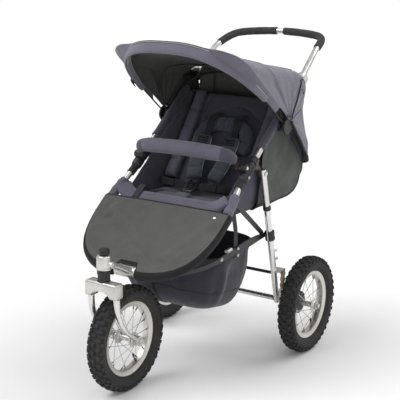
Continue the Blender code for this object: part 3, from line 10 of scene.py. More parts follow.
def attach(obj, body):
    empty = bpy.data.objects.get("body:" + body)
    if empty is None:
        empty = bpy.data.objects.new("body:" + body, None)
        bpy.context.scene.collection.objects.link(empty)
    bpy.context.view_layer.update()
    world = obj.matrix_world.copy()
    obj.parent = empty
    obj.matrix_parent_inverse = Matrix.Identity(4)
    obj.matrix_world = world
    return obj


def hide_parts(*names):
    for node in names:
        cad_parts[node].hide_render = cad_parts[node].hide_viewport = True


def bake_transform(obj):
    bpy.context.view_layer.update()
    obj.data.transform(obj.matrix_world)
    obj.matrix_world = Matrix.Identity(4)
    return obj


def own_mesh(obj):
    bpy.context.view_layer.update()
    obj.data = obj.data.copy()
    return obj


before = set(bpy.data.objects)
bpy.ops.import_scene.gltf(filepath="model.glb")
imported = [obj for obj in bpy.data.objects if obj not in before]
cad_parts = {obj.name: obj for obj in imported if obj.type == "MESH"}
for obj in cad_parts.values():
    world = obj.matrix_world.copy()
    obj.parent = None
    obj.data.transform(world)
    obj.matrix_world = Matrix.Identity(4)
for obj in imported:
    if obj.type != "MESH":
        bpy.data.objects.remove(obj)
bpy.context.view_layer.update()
scene = bpy.context.scene
print("stage: the packed frame is loaded")

# Lengths are metres. Points are written from the rear axle line, as in the part's source,
# and moved to the frame's place when a mesh is made.
axleShift = 0.24235
tubeRadius = 0.0097
tubeX = 0.195
slope = math.atan(0.80)
along = np.array([0.0, math.cos(slope), math.sin(slope)])
square = np.array([0.0, -math.sin(slope), math.cos(slope)])
across = np.array([1.0, 0.0, 0.0])
up = np.array([0.0, 0.0, 1.0])
backwards = np.array([0.0, 1.0, 0.0])
shift = np.array([0.0, axleShift, 0.0])
sides = (("left", 1), ("right", -1))


def tubeZ(y):
    # height of the side tubes' sloping plane
    return 0.839 + 0.80 * y


def onTube(y, x=0.0):
    return np.array([x, y, tubeZ(y)])


def inYZ(degrees):
    # unit vector turned up from +Y
    return np.array([0.0, math.cos(math.radians(degrees)), math.sin(math.radians(degrees))])


# Shapes worked out as arrays

def lengthAlong(path):
    # distance from the first point, along the path
    steps = np.linalg.norm(np.diff(path, axis=0), axis=1)
    return np.concatenate([[0.0], np.cumsum(steps)])


def evenly(path, count):
    # the same line with points at equal distances
    s = lengthAlong(path)
    at = np.linspace(0.0, s[-1], count)
    return np.stack([np.interp(at, s, path[:, i]) for i in range(path.shape[1])], axis=1)


def straight(start, end, count):
    return evenly(np.array([start, end]), count)


def smoothLine(points, count):
    # cubic curve through the points: each stretch is a blend of its four nearest points
    p = np.array(points, float)
    ends = np.vstack([2 * p[0] - p[1], p, 2 * p[-1] - p[-2]])
    t = np.linspace(0.0, len(p) - 1, 24 * (len(p) - 1) + 1)
    k = np.minimum(t.astype(int), len(p) - 2)
    f = (t - k)[:, None]
    a, b, c, d = ends[k], ends[k + 1], ends[k + 2], ends[k + 3]
    fine = 0.5 * (2 * b + (c - a) * f + (2 * a - 5 * b + 4 * c - d) * f ** 2 + (3 * b - a - 3 * c + d) * f ** 3)
    return evenly(fine, count)


def mirrored(half):
    # a whole path from its +X half, whose last point is on the middle plane
    half = np.array(half, float)
    return np.vstack([half, (half[:-1] * [-1, 1, 1])[::-1]])


def onSide(points, side):
    return np.array(points, float) * [side, 1, 1]


def framesOn(path, reference):
    # tangent, side and height at each point; side is the reference made square to the tangent
    tangent = np.gradient(path, axis=0)
    tangent /= np.linalg.norm(tangent, axis=1, keepdims=True)
    side = np.broadcast_to(np.array(reference, float), path.shape)
    side = side - tangent * np.sum(side * tangent, axis=1, keepdims=True)
    side /= np.linalg.norm(side, axis=1, keepdims=True)
    return tangent, side, np.cross(side, tangent)


def carried(path, profile, reference):
    # a profile of (side, height) pairs carried along a path: point + a * side + b * height
    _, side, height = framesOn(path, reference)
    profile = np.broadcast_to(profile, (len(path),) + np.shape(profile)[-2:])
    return path[:, None] + profile[..., :1] * side[:, None] + profile[..., 1:] * height[:, None]


def roundProfile(count, flat=1.0, power=2.0):
    # unit circle drawn towards a square as the power grows, and flattened in its height
    turn = 2 * np.pi * (np.arange(count) + 0.5) / count
    c, s = np.cos(turn), np.sin(turn)
    return np.stack([np.sign(c) * abs(c) ** (2 / power), flat * np.sign(s) * abs(s) ** (2 / power)], axis=1)


def turnedGrid(profile, centre, axis, count):
    # (radius, height) pairs turned about an axis through the centre
    axis = np.array(axis, float) / np.linalg.norm(axis)
    first = np.cross(axis, up if abs(axis[2]) < 0.9 else across)
    first /= np.linalg.norm(first)
    second = np.cross(axis, first)
    turn = 2 * np.pi * np.arange(count) / count
    spoke = np.cos(turn)[:, None] * first + np.sin(turn)[:, None] * second
    profile = np.array(profile, float)
    return np.array(centre) + profile[:, None, :1] * spoke + profile[:, None, 1:] * axis


def bump(x, middle, width):
    # a smooth hill, 1 at its middle and near 0 two widths away
    return np.exp(-((x - middle) / width) ** 2)


def fromEnds(s):
    return np.minimum(s, s[-1] - s)


def roundedEnds(s, reach, least):
    # a quarter round over the reach at both ends, 1 between them
    return np.sqrt(np.clip(1 - (1 - np.minimum(fromEnds(s) / reach, 1.0)) ** 2, least, 1.0))


def bothEnds(half):
    # a (radius, height) profile and its mirror image at the other end
    return half + [(r, -h) for r, h in half[::-1]]


# Meshes from arrays

@contextmanager
def opened(mesh):
    # the mesh opened for a change of its faces, and written back after it
    shape = bmesh.new()
    shape.from_mesh(mesh)
    yield shape
    shape.to_mesh(mesh)
    shape.free()


def linkMesh(name, mesh, finish, smoothAngle=None):
    mesh.polygons.foreach_set("use_smooth", np.ones(len(mesh.polygons), bool))
    if smoothAngle is not None:
        mesh.set_sharp_from_angle(angle=math.radians(smoothAngle))
    for one in (finish if isinstance(finish, (list, tuple)) else [finish]):
        mesh.materials.append(one)
    piece = bpy.data.objects.new(name, mesh)
    scene.collection.objects.link(piece)
    return piece


def gridQuads(rows, columns, closeRows, closeColumns):
    # corner numbers of the faces between neighbours of a rows by columns grid
    i = np.arange(rows if closeRows else rows - 1)[:, None]
    j = np.arange(columns if closeColumns else columns - 1)[None, :]
    ahead, beside = (i + 1) % rows, (j + 1) % columns
    return np.stack([i * columns + j, i * columns + beside, ahead * columns + beside, ahead * columns + j], axis=-1)


def gridPiece(name, grid, finish, closeRows=False, closeColumns=False, caps=False, smoothAngle=None):
    # skin over a grid of points. Its UV map is in metres: u along the rows, v round each row
    grid = np.array(grid, float)
    rows, columns = grid.shape[:2]
    quads = gridQuads(rows, columns, closeRows, closeColumns)
    padded = np.concatenate([grid, grid[:, :1]], axis=1) if closeColumns else grid
    padded = np.concatenate([padded, padded[:1]], axis=0) if closeRows else padded
    downRows = np.linalg.norm(np.diff(padded, axis=0), axis=2).mean(axis=1)
    u = np.concatenate([[0.0], np.cumsum(downRows)])[:, None] + 0 * padded[..., 0]
    overColumns = np.linalg.norm(np.diff(padded, axis=1), axis=2)
    v = np.concatenate([np.zeros((len(padded), 1)), np.cumsum(overColumns, axis=1)], axis=1)
    v = v - v[:, -1:] / 2
    i, j = np.indices(quads.shape[:2])
    corners = [(i, j), (i, j + 1), (i + 1, j + 1), (i + 1, j)]
    uv = np.stack([np.stack([u[a, b], v[a, b]], axis=-1) for a, b in corners], axis=2).reshape(-1, 2)
    faces = quads.reshape(-1, 4).tolist()
    if caps:
        faces.append(list(range(columns))[::-1])
        faces.append(list(range((rows - 1) * columns, rows * columns)))
        uv = np.vstack([uv, np.zeros((2 * columns, 2))])
    mesh = bpy.data.meshes.new(name)
    mesh.from_pydata(grid.reshape(-1, 3) + shift, [], faces)
    mesh.uv_layers.new(name="cloth").data.foreach_set("uv", uv.astype(np.float32).ravel())
    with opened(mesh) as shape:
        bmesh.ops.recalc_face_normals(shape, faces=shape.faces)
    return linkMesh(name, mesh, finish, smoothAngle)


def barPiece(name, path, profile, reference, finish, smoothAngle=75):
    # closed bar along a path; the profile is one ring, or one for each point
    return gridPiece(name, carried(path, profile, reference), finish, closeColumns=True, caps=True,
                     smoothAngle=smoothAngle)


def tubePiece(name, path, radius, finish, reference=square, count=24, flat=1.0, power=2.0, smoothAngle=40):
    # round or flattened bar along a path; radius may be a number or one for each point
    path = np.array(path, float)
    profile = roundProfile(count, flat, power) * np.broadcast_to(radius, len(path))[:, None, None]
    return barPiece(name, path, profile, reference, finish, smoothAngle)


def turnedPiece(name, profile, centre, axis, finish, count=48, side=1, ring=None, smoothAngle=32):
    # a turned piece. A profile that starts off the axis is closed into a ring
    profile = np.array(profile, float) * [1, side]
    ring = profile[0, 0] > 0 if ring is None else ring
    grid = turnedGrid(profile, centre, axis, count)
    return gridPiece(name, grid, finish, closeRows=ring, closeColumns=True, caps=not ring, smoothAngle=smoothAngle)


def joinPieces(name, pieces):
    # several meshes as one object, each keeping its material
    mesh = bpy.data.meshes.new(name)
    shape = bmesh.new()
    finishes = []
    for piece in pieces:
        before = len(shape.faces)
        shape.from_mesh(piece.data)
        shape.faces.ensure_lookup_table()
        slots = []
        for one in piece.data.materials:
            if one not in finishes:
                finishes.append(one)
            slots.append(finishes.index(one))
        for face in shape.faces[before:]:
            face.material_index = slots[min(face.material_index, len(slots) - 1)]
        old = piece.data
        bpy.data.objects.remove(piece)
        bpy.data.meshes.remove(old)
    shape.to_mesh(mesh)
    shape.free()
    for one in finishes:
        mesh.materials.append(one)
    joined = bpy.data.objects.new(name, mesh)
    scene.collection.objects.link(joined)
    return joined


def repeated(name, template, faces, places, finish, smoothAngle):
    # one small shape at many places: each place is an origin and three axis vectors
    points = places[:, None, 0] + np.einsum("ki,nij->nkj", np.array(template, float), places[:, 1:4])
    listed = [[corner + n * len(template) for corner in face] for n in range(len(places)) for face in faces]
    mesh = bpy.data.meshes.new(name)
    mesh.from_pydata(points.reshape(-1, 3) + shift, [], listed)
    with opened(mesh) as shape:
        bmesh.ops.recalc_face_normals(shape, faces=shape.faces)
    return linkMesh(name, mesh, finish, smoothAngle)


def softened(node, finish, edge):
    # a copy of a hard node whose loose triangles are merged and whose edges are rounded
    sharp = 35
    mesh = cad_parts[node].data.copy()
    mesh.materials.clear()
    with opened(mesh) as shape:
        bmesh.ops.remove_doubles(shape, verts=shape.verts, dist=0.000005)
        bmesh.ops.dissolve_limit(shape, angle_limit=math.radians(2), verts=shape.verts, edges=shape.edges)
    piece = linkMesh(node + "_fine", mesh, finish, sharp)
    rounding = piece.modifiers.new("edges", "BEVEL")
    rounding.width = edge
    rounding.segments = 2
    rounding.limit_method = "ANGLE"
    rounding.angle_limit = math.radians(sharp)
    rounding.harden_normals = True
    return piece


def settle(piece, body, slot, *nodes):
    # the piece rides on its body and stands for its nodes; the slot is not used
    if nodes:
        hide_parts(*nodes)
    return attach(piece, body)


def settleJoined(name, pieces, body, slot, *nodes):
    return settle(joinPieces(name, pieces), body, slot, *nodes)


def settlePad(piece, body, slot, fill, *nodes):
    settle(piece, body, slot, *nodes)


# Materials: a socket that adds its own Math nodes, and a finish that adds any other node

class Wire:
    def __init__(self, finish, socket):
        self.finish = finish
        self.socket = socket

    def __add__(self, other):
        return self.finish.maths("ADD", self, other)

    def __radd__(self, other):
        return self.finish.maths("ADD", other, self)

    def __sub__(self, other):
        return self.finish.maths("SUBTRACT", self, other)

    def __rsub__(self, other):
        return self.finish.maths("SUBTRACT", other, self)

    def __mul__(self, other):
        return self.finish.maths("MULTIPLY", self, other)

    def __rmul__(self, other):
        return self.finish.maths("MULTIPLY", other, self)


class Finish:
    def __init__(self, name, roughness=0.5, metallic=0.0, sheen=0.0, coat=0.0, specular=0.5):
        self.material = bpy.data.materials.new(name)
        self.material.use_nodes = True
        self.tree = self.material.node_tree
        self.shader = self.tree.nodes["Principled BSDF"]
        for socket, value in (("Roughness", roughness), ("Metallic", metallic), ("Sheen Weight", sheen),
                              ("Sheen Roughness", 0.5), ("Coat Weight", coat), ("Coat Roughness", 0.3),
                              ("Specular IOR Level", specular)):
            self.shader.inputs[socket].default_value = value

    def node(self, kind, settings, values, output=0):
        # settings are set first; values are numbers, colours or wires for the sockets
        made = self.tree.nodes.new(kind)
        for key, value in settings.items():
            setattr(made, key, value)
        for key, value in values.items():
            self.feed(made.inputs[key], value)
        return Wire(self, made.outputs[output])

    def feed(self, socket, value):
        if isinstance(value, Wire):
            self.tree.links.new(value.socket, socket)
        elif isinstance(value, tuple) and len(value) == 3 and socket.type == "RGBA":
            socket.default_value = (*value, 1.0)
        else:
            socket.default_value = value

    def maths(self, operation, *values):
        return self.node("ShaderNodeMath", {"operation": operation}, dict(enumerate(values)))

    def sine(self, value):
        return self.maths("SINE", value)

    def clamped(self, value, low, high):
        # 0 at low, 1 at high, held between
        return self.node("ShaderNodeMapRange", {"clamp": True},
                         {"Value": value, "From Min": low, "From Max": high, "To Min": 0.0, "To Max": 1.0})

    def places(self, stretch=(1.0, 1.0, 1.0)):
        # object coordinates in metres, stretched
        spot = self.node("ShaderNodeTexCoord", {}, {}, 3)
        return self.node("ShaderNodeMapping", {}, {"Vector": spot, "Scale": stretch})

    def clothUv(self):
        # u along the cloth's rows and v round them, in metres
        parts = self.tree.nodes.new("ShaderNodeSeparateXYZ")
        self.feed(parts.inputs[0], self.node("ShaderNodeUVMap", {"uv_map": "cloth"}, {}))
        return Wire(self, parts.outputs[0]), Wire(self, parts.outputs[1])

    def noise(self, scale, detail=3.0, roughness=0.5, vector=None):
        return self.node("ShaderNodeTexNoise", {}, {"Vector": vector or self.places(), "Scale": scale,
                                                    "Detail": detail, "Roughness": roughness})

    def cells(self, scale):
        return self.node("ShaderNodeTexVoronoi", {}, {"Vector": self.places(), "Scale": scale})

    def blend(self, share, first, second):
        # colour between two colours
        return self.node("ShaderNodeMix", {"data_type": "RGBA"}, {0: share, 6: first, 7: second}, 2)

    def bumps(self, height, distance, strength=1.0, under=None):
        below = {"Normal": under} if under else {}
        return self.node("ShaderNodeBump", {}, {"Height": height, "Distance": distance, "Strength": strength, **below})

    def wear(self, colour, roughness=None, normal=None):
        for socket, value in (("Base Color", colour), ("Roughness", roughness), ("Normal", normal)):
            if value is not None:
                self.feed(self.shader.inputs[socket], value)
        return self.material


def wovenCloth(name, colour, light, thread=0.0011, sheen=0.25):
    # plain weave from two crossed waves on the cloth's own UV, with slow shading and a little lint
    f = Finish(name, 0.9, sheen=sheen, specular=0.2)
    u, v = f.clothUv()
    turn = 2 * math.pi / thread
    warp = f.sine(u * turn)
    weft = f.sine(v * turn)
    weave = warp * weft * 0.5 + 0.5
    slow = f.noise(9.0, 2.0, 0.5)
    lint = f.noise(420.0, 3.0, 0.6)
    rub = f.noise(38.0, 4.0, 0.6)
    tone = f.clamped(slow * 0.40 + rub * 0.22 + weave * 0.24 + lint * 0.14, 0.18, 0.82)
    base = f.blend(tone, tuple(c * 0.78 for c in colour), light)
    soft = f.noise(26.0, 3.0, 0.5)
    folds = f.bumps(soft, 0.006, 0.35)
    normal = f.bumps(weave * 0.7 + lint * 0.3, 0.0004, 0.6, folds)
    return f.wear(base, 0.82 + 0.14 * lint, normal)


def meshCloth(name, colour, light):
    # knitted spacer mesh: round holes in a staggered net
    f = Finish(name, 0.88, sheen=0.15, specular=0.25)
    u, v = f.clothUv()
    turn = 2 * math.pi / 0.0024
    net = f.sine(u * turn + v * turn * 0.5) * f.sine(v * turn * 0.87 - u * turn * 0.5)
    open_ = f.clamped(net, -0.2, 0.7)
    slow = f.noise(11.0, 3.0, 0.55)
    tone = f.clamped(slow, 0.35, 0.68)
    solid = f.blend(tone, colour, light)
    base = f.blend(open_ * 0.55, solid, tuple(c * 0.35 for c in colour))
    folds = f.bumps(f.noise(30.0, 3.0, 0.5), 0.004, 0.35)
    return f.wear(base, 0.80 + 0.12 * slow, f.bumps(1 - open_, 0.0005, 0.7, folds))


def strapCloth(name, colour, light):
    # webbing: cross ribs on the strap's own UV
    f = Finish(name, 0.7, sheen=0.1, specular=0.35)
    u, v = f.clothUv()
    rib = f.sine(u * (2 * math.pi / 0.0016)) * 0.5 + 0.5
    edge = f.sine(v * (2 * math.pi / 0.0042)) * 0.5 + 0.5
    tone = f.clamped(f.noise(70.0, 3.0, 0.6) * 0.7 + rib * 0.3, 0.3, 0.75)
    return f.wear(f.blend(tone, colour, light), 0.62 + 0.2 * edge, f.bumps(rib * 0.7 + edge * 0.3, 0.0004, 0.7))


def drawnMetal(name, colour, dull, roughness=0.3, grain=(1.0, 1.0, 1.0)):
    # drawn or cast metal: fine grain, cloudy tarnish and a few scratches
    f = Finish(name, roughness, metallic=1.0)
    fine = f.noise(260.0, 4.0, 0.65, f.places(grain))
    cloud = f.noise(14.0, 3.0, 0.55)
    scratch = f.clamped(f.noise(90.0, 6.0, 0.75, f.places((1.0, 6.0, 1.0))), 0.60, 0.72)
    tone = f.clamped(cloud * 0.6 + fine * 0.4, 0.34, 0.70)
    base = f.blend(tone, dull, colour)
    base = f.blend(scratch * 0.25, base, tuple(min(c * 1.25, 1.0) for c in colour))
    return f.wear(base, roughness - 0.08 + 0.22 * fine + 0.10 * scratch,
                  f.bumps(fine * 0.8 + scratch * 0.2, 0.0002, 0.25))


def mouldedPlastic(name, colour, worn, roughness=0.45, grain=900.0):
    # moulded plastic: leather-fine grain, paler where hands and shoes rub
    f = Finish(name, roughness, specular=0.45)
    pits = f.cells(grain)
    cloud = f.noise(22.0, 4.0, 0.6)
    rub = f.clamped(f.noise(55.0, 5.0, 0.7), 0.55, 0.75)
    base = f.blend(f.clamped(cloud, 0.35, 0.7), colour, tuple(c * 1.5 + 0.002 for c in colour))
    base = f.blend(rub * 0.35, base, worn)
    return f.wear(base, roughness - 0.06 + 0.16 * cloud + 0.10 * rub, f.bumps(pits, 0.0003, 0.35))


print("stage: the makers are ready")

# Finishes of this pushchair. Base colours are linear

silverTube = drawnMetal("silver tube", (0.80, 0.79, 0.78), (0.62, 0.61, 0.60), 0.26, (1.0, 0.25, 0.25))
castSilver = drawnMetal("cast silver", (0.74, 0.73, 0.71), (0.52, 0.51, 0.49), 0.36)
rimMetal = drawnMetal("rim metal", (0.78, 0.75, 0.71), (0.60, 0.575, 0.54), 0.30)
spokeMetal = drawnMetal("spoke wire", (0.72, 0.71, 0.70), (0.50, 0.49, 0.48), 0.22)
nippleMetal = drawnMetal("nipple", (0.26, 0.25, 0.24), (0.12, 0.12, 0.12), 0.35)
boltMetal = drawnMetal("bolt", (0.76, 0.75, 0.72), (0.48, 0.47, 0.45), 0.28)
blackPlastic = mouldedPlastic("black plastic", (0.011, 0.011, 0.012), (0.045, 0.044, 0.044))
blackSteel = mouldedPlastic("black steel", (0.013, 0.013, 0.014), (0.060, 0.058, 0.056), 0.36, 500.0)
buckleGloss = mouldedPlastic("buckle plastic", (0.012, 0.012, 0.013), (0.05, 0.05, 0.05), 0.22, 700.0)
violetCloth = wovenCloth("violet cloth", (0.098, 0.092, 0.125), (0.155, 0.146, 0.192))
hoodCloth = wovenCloth("hood cloth", (0.120, 0.112, 0.148), (0.190, 0.180, 0.232), 0.0010, 0.35)
navyCloth = wovenCloth("navy cloth", (0.052, 0.049, 0.068), (0.088, 0.083, 0.110), 0.0010)
slateCloth = wovenCloth("slate cloth", (0.050, 0.056, 0.072), (0.082, 0.092, 0.114), 0.0009, 0.3)
apronCloth = wovenCloth("apron cloth", (0.070, 0.070, 0.066), (0.112, 0.112, 0.106), 0.0014)
liningCloth = wovenCloth("lining cloth", (0.082, 0.087, 0.080), (0.125, 0.132, 0.120), 0.0010, 0.1)
basketCloth = wovenCloth("basket cloth", (0.026, 0.025, 0.035), (0.046, 0.043, 0.060), 0.0013)
pouchMesh = meshCloth("pouch mesh", (0.060, 0.064, 0.060), (0.088, 0.094, 0.088))
blackTrim = strapCloth("black trim", (0.008, 0.008, 0.009), (0.024, 0.024, 0.026))
webbing = strapCloth("webbing", (0.010, 0.010, 0.012), (0.030, 0.030, 0.034))
greyPiping = strapCloth("grey piping", (0.28, 0.28, 0.28), (0.52, 0.52, 0.52))


def rubberFinish(name, colour, dustAndHighlight):
    # tyre rubber: fine pores, and paler patches spread by noise that are partly dust and partly painted highlight
    f = Finish(name, 0.8, specular=0.3)
    pores = f.noise(700.0, 4.0, 0.6)
    patches = f.noise(24.0, 5.0, 0.65)
    film = f.noise(130.0, 4.0, 0.6)
    share = f.clamped(patches * 0.6 + film * 0.4, 0.42, 0.66)
    return f.wear(f.blend(share * 0.7, colour, dustAndHighlight), 0.70 + 0.25 * share,
                  f.bumps(pores * 0.5 + film * 0.5, 0.0005, 0.4))


def foamFinish(name, colour, light):
    # closed-cell foam: small open pores and a faint mottle
    f = Finish(name, 0.92, specular=0.2)
    pores = f.cells(1100.0)
    mottle = f.noise(85.0, 5.0, 0.65)
    tone = f.clamped(mottle, 0.32, 0.70)
    base = f.blend(tone, colour, light)
    base = f.blend(f.clamped(pores, 0.0, 0.45), tuple(c * 0.55 for c in colour), base)
    return f.wear(base, 0.84 + 0.12 * mottle, f.bumps(pores, 0.0006, 0.6))


def elastomerFinish(name):
    # cast polyurethane, dirtier towards its grooves
    f = Finish(name, 0.5, coat=0.15)
    grime = f.clamped(f.noise(90.0, 4.0, 0.6), 0.40, 0.70)
    return f.wear(f.blend(grime, (0.36, 0.30, 0.22), (0.17, 0.135, 0.10)), 0.42 + 0.3 * grime,
                  f.bumps(f.noise(300.0, 3.0, 0.6), 0.0004, 0.4))


# the paler second colour is dust and painted highlight together
tyreRubber = rubberFinish("tyre rubber", (0.020, 0.020, 0.021), (0.060, 0.058, 0.055))
foamGrip = foamFinish("foam grip", (0.040, 0.042, 0.040), (0.070, 0.073, 0.070))
elastomer = elastomerFinish("elastomer")
print("stage: the finishes are ready")


# Camera, floor and light

cameraSet = {"place": (1.63846, -2.75367, 1.16423), "azimuth": 32.94, "elevation": 12.4, "roll": 1.34,
             "lens": 88.577, "sensor": 36.0}


def addCamera():
    a, e, r = (math.radians(cameraSet[key]) for key in ("azimuth", "elevation", "roll"))
    ahead = Vector((-math.sin(a) * math.cos(e), math.cos(a) * math.cos(e), -math.sin(e)))
    right = Vector((math.cos(a), math.sin(a), 0.0))
    over = right.cross(ahead)
    right, over = math.cos(r) * right + math.sin(r) * over, math.cos(r) * over - math.sin(r) * right
    data = bpy.data.cameras.new("photo camera")
    data.lens = cameraSet["lens"]
    data.sensor_width = cameraSet["sensor"]
    data.sensor_fit = "HORIZONTAL"
    camera = bpy.data.objects.new("photo camera", data)
    scene.collection.objects.link(camera)
    turn = Matrix((right, over, -ahead)).transposed()
    camera.matrix_world = Matrix.Translation(Vector(cameraSet["place"]) + Vector(shift)) @ turn.to_4x4()
    scene.camera = camera


lightSet = {
    "key": {"from": (-0.60, -0.70, 1.25), "spread": 38.0, "strength": 1.55},
    "side": {"from": (0.90, -0.60, 0.70), "spread": 60.0, "strength": 0.62},
    "back": {"from": (0.60, 0.75, 1.10), "spread": 45.0, "strength": 0.90},
    "room": 0.50,
}


def addLights():
    for name in ("key", "side", "back"):
        one = lightSet[name]
        data = bpy.data.lights.new(name + " light", "SUN")
        data.energy = one["strength"]
        data.angle = math.radians(one["spread"])
        lamp = bpy.data.objects.new(name + " light", data)
        lamp.rotation_euler = (-Vector(one["from"])).to_track_quat("-Z", "Y").to_euler()
        scene.collection.objects.link(lamp)
    world = bpy.data.worlds.new("soft white room")
    world.use_nodes = True
    glow = world.node_tree.nodes["Background"].inputs
    glow["Color"].default_value = (1.0, 1.0, 1.0, 1.0)
    glow["Strength"].default_value = lightSet["room"]
    scene.world = world


def addBackdrop():
    # white wall all round, seen by the camera but giving no light of its own
    f = Finish("white wall", 1.0, specular=0.0)
    f.shader.inputs["Base Color"].default_value = (0.0, 0.0, 0.0, 1.0)
    f.shader.inputs["Emission Color"].default_value = (1.0, 1.0, 1.0, 1.0)
    f.shader.inputs["Emission Strength"].default_value = 1.0
    wall = turnedPiece("white_backdrop", [(28.5, -0.4), (28.5, 9.0), (24.0, 18.0), (14.0, 25.0), (0.5, 28.0)],
                       -shift, up, f.material, 64, ring=False)
    for ray in ("diffuse", "glossy", "transmission", "shadow", "volume_scatter"):
        setattr(wall, "visible_" + ray, False)


def addFloor():
    f = Finish("studio floor", 0.9, specular=0.1)
    cloud = f.noise(0.8, 2.0, 0.5)
    paint = f.wear(f.blend(cloud, (0.86, 0.86, 0.86), (0.90, 0.90, 0.90)))
    spread = np.linspace(-30.0, 30.0, 13)
    grid = np.stack(np.meshgrid(spread, spread, indexing="ij") + [np.zeros((13, 13)) - 0.0002], axis=-1)
    floor = gridPiece("studio_floor", grid, paint)


addCamera()
addLights()
addFloor()
addBackdrop()
scene.view_settings.view_transform = "Standard"
print("stage: camera, light and floor are ready")


# Wheels: knobbly tyre, deep rim, laced spokes, hub

wheelSet = {"knobs": 38, "rimInner": 0.0950, "spokes": 20, "lean": math.radians(38), "hook": 0.0185, "flange": 0.0220,
            "flangeX": 0.0260, "spokeRadius": 0.00105, "nippleRadius": 0.0019, "halfTrack": 0.276, "axleZ": 0.1575,
            "wheelbase": 0.600, "drum": 0.0365}
tyreHalf = [(0.1520, 0.0), (0.1515, 0.0080), (0.1496, 0.0155), (0.1456, 0.0218), (0.1385, 0.0256), (0.1300, 0.0262),
            (0.1215, 0.0238), (0.1152, 0.0185), (0.1116, 0.0137), (0.1092, 0.0117), (0.1062, 0.0115)]
rimHalf = [(0.0950, 0.0), (0.0950, 0.0070), (0.0956, 0.0100), (0.0985, 0.0116), (0.1045, 0.0131), (0.1083, 0.0140),
           (0.1102, 0.0145), (0.1108, 0.0138), (0.1100, 0.0126), (0.1062, 0.0122), (0.1043, 0.0105), (0.1040, 0.0)]
# offset in steps, x, radius, tilt, width, length and height of the knobs in each row
knobRows = [(0.5, 0.0150, 0.1488, 0.30, 0.0112, 0.0118, 0.0064), (0.0, 0.0226, 0.1438, 0.80, 0.0094, 0.0112, 0.0050),
            (0.5, 0.0250, 0.1402, 1.20, 0.0060, 0.0070, 0.0024)]
knobCorners = ((-1, -1), (1, -1), (1, 1), (-1, 1))
knobShape = [(k * a, k * b, z) for k, z in ((1, 0.0), (0.94, 0.78), (0.78, 1.0)) for a, b in knobCorners]
knobFaces = [(0, 3, 2, 1), (8, 9, 10, 11)]
knobFaces += [(k + ring, (k + 1) % 4 + ring, (k + 1) % 4 + ring + 4, k + ring + 4)
              for ring in (0, 4) for k in range(4)]
axleFront = np.array([0.0, -wheelSet["wheelbase"], wheelSet["axleZ"]])


def bothSides(half):
    # a section from its +X half: the half out, and its mirror back
    half = np.array(half, float)
    return np.vstack([half[::-1] * [1, -1], half[1:]])


def barShape(around):
    # a round bar of unit radius and length, as corners and faces
    turn = 2 * np.pi * np.arange(around) / around
    corners = [(a, b, z) for z in (0.0, 1.0) for a, b in zip(np.cos(turn), np.sin(turn))]
    faces = [(k, (k + 1) % around, (k + 1) % around + around, k + around) for k in range(around)]
    return corners, faces + [tuple(range(around))[::-1], tuple(range(around, 2 * around))]


def barPlaces(starts, ends, radius):
    # origin and axes that lay a unit bar from each start to each end
    line = ends - starts
    length = np.linalg.norm(line, axis=1, keepdims=True)
    first = np.cross(line, across + 0.37 * up)
    first /= np.linalg.norm(first, axis=1, keepdims=True)
    second = np.cross(line / length, first)
    return np.stack([starts, first * radius, second * radius, line], axis=1)


def knobPlaces(centre, offset, x, radius, tilt, width, length, height):
    # one row of tread knobs: each stands square to the tyre's curve where it sits
    turn = 2 * np.pi * (np.arange(wheelSet["knobs"]) + offset) / wheelSet["knobs"]
    radial = np.stack([0 * turn, np.cos(turn), np.sin(turn)], axis=1)
    tangent = np.stack([0 * turn, -np.sin(turn), np.cos(turn)], axis=1)
    side = math.copysign(1.0, x)
    beside = across * math.cos(tilt) * side - radial * math.sin(tilt)
    outward = radial * math.cos(tilt) + across * math.sin(tilt) * side
    origin = centre + radial * radius + across * x
    return np.stack([origin, tangent * length / 2, beside * width / 2, outward * height], axis=1)


def makeTyre(prefix, centre, body):
    section = bothSides(smoothLine(tyreHalf, 34))
    r, x = section.T
    onWall = (abs(x) > 0.0200) & (r < 0.144)
    ribs = bump(r, 0.1335, 0.0009) + bump(r, 0.1235, 0.0009)     # two moulded lines round the side wall
    section[:, 1] += np.where(onWall, np.sign(x) * 0.0006 * ribs, 0.0)
    carcass = turnedPiece("carcass", section, centre, across, tyreRubber, 120, smoothAngle=60)
    rows = [knobPlaces(centre, 0.0, 0.0, 0.1512, 0.0, 0.0128, 0.0128, 0.0063)]
    rows += [knobPlaces(centre, offset, side * x, *rest) for side in (1, -1) for offset, x, *rest in knobRows]
    knobs = repeated("knobs", knobShape, knobFaces, np.vstack(rows), tyreRubber, 25)
    settleJoined(prefix + "_tyre_knobbly", [carcass, knobs], body, "tyre_rubber", prefix + "_tyre")


def makeRim(prefix, centre, body):
    rim = turnedPiece(prefix + "_rim_deep", bothSides(rimHalf), centre, across, rimMetal, 120, smoothAngle=38)
    settle(rim, body, "rim", prefix + "_rim")
    out = inYZ(-62)
    foot = centre + 0.0955 * out
    stem = tubePiece("stem", [foot, foot - 0.016 * out], 0.0030, blackPlastic, across, 14)
    cap = tubePiece("cap", [foot - 0.015 * out, foot - 0.020 * out, foot - 0.0275 * out], [0.0036, 0.0037, 0.0026],
                    blackPlastic, across, 10)
    settleJoined(prefix + "_valve", [stem, cap], body, "black_plastic")


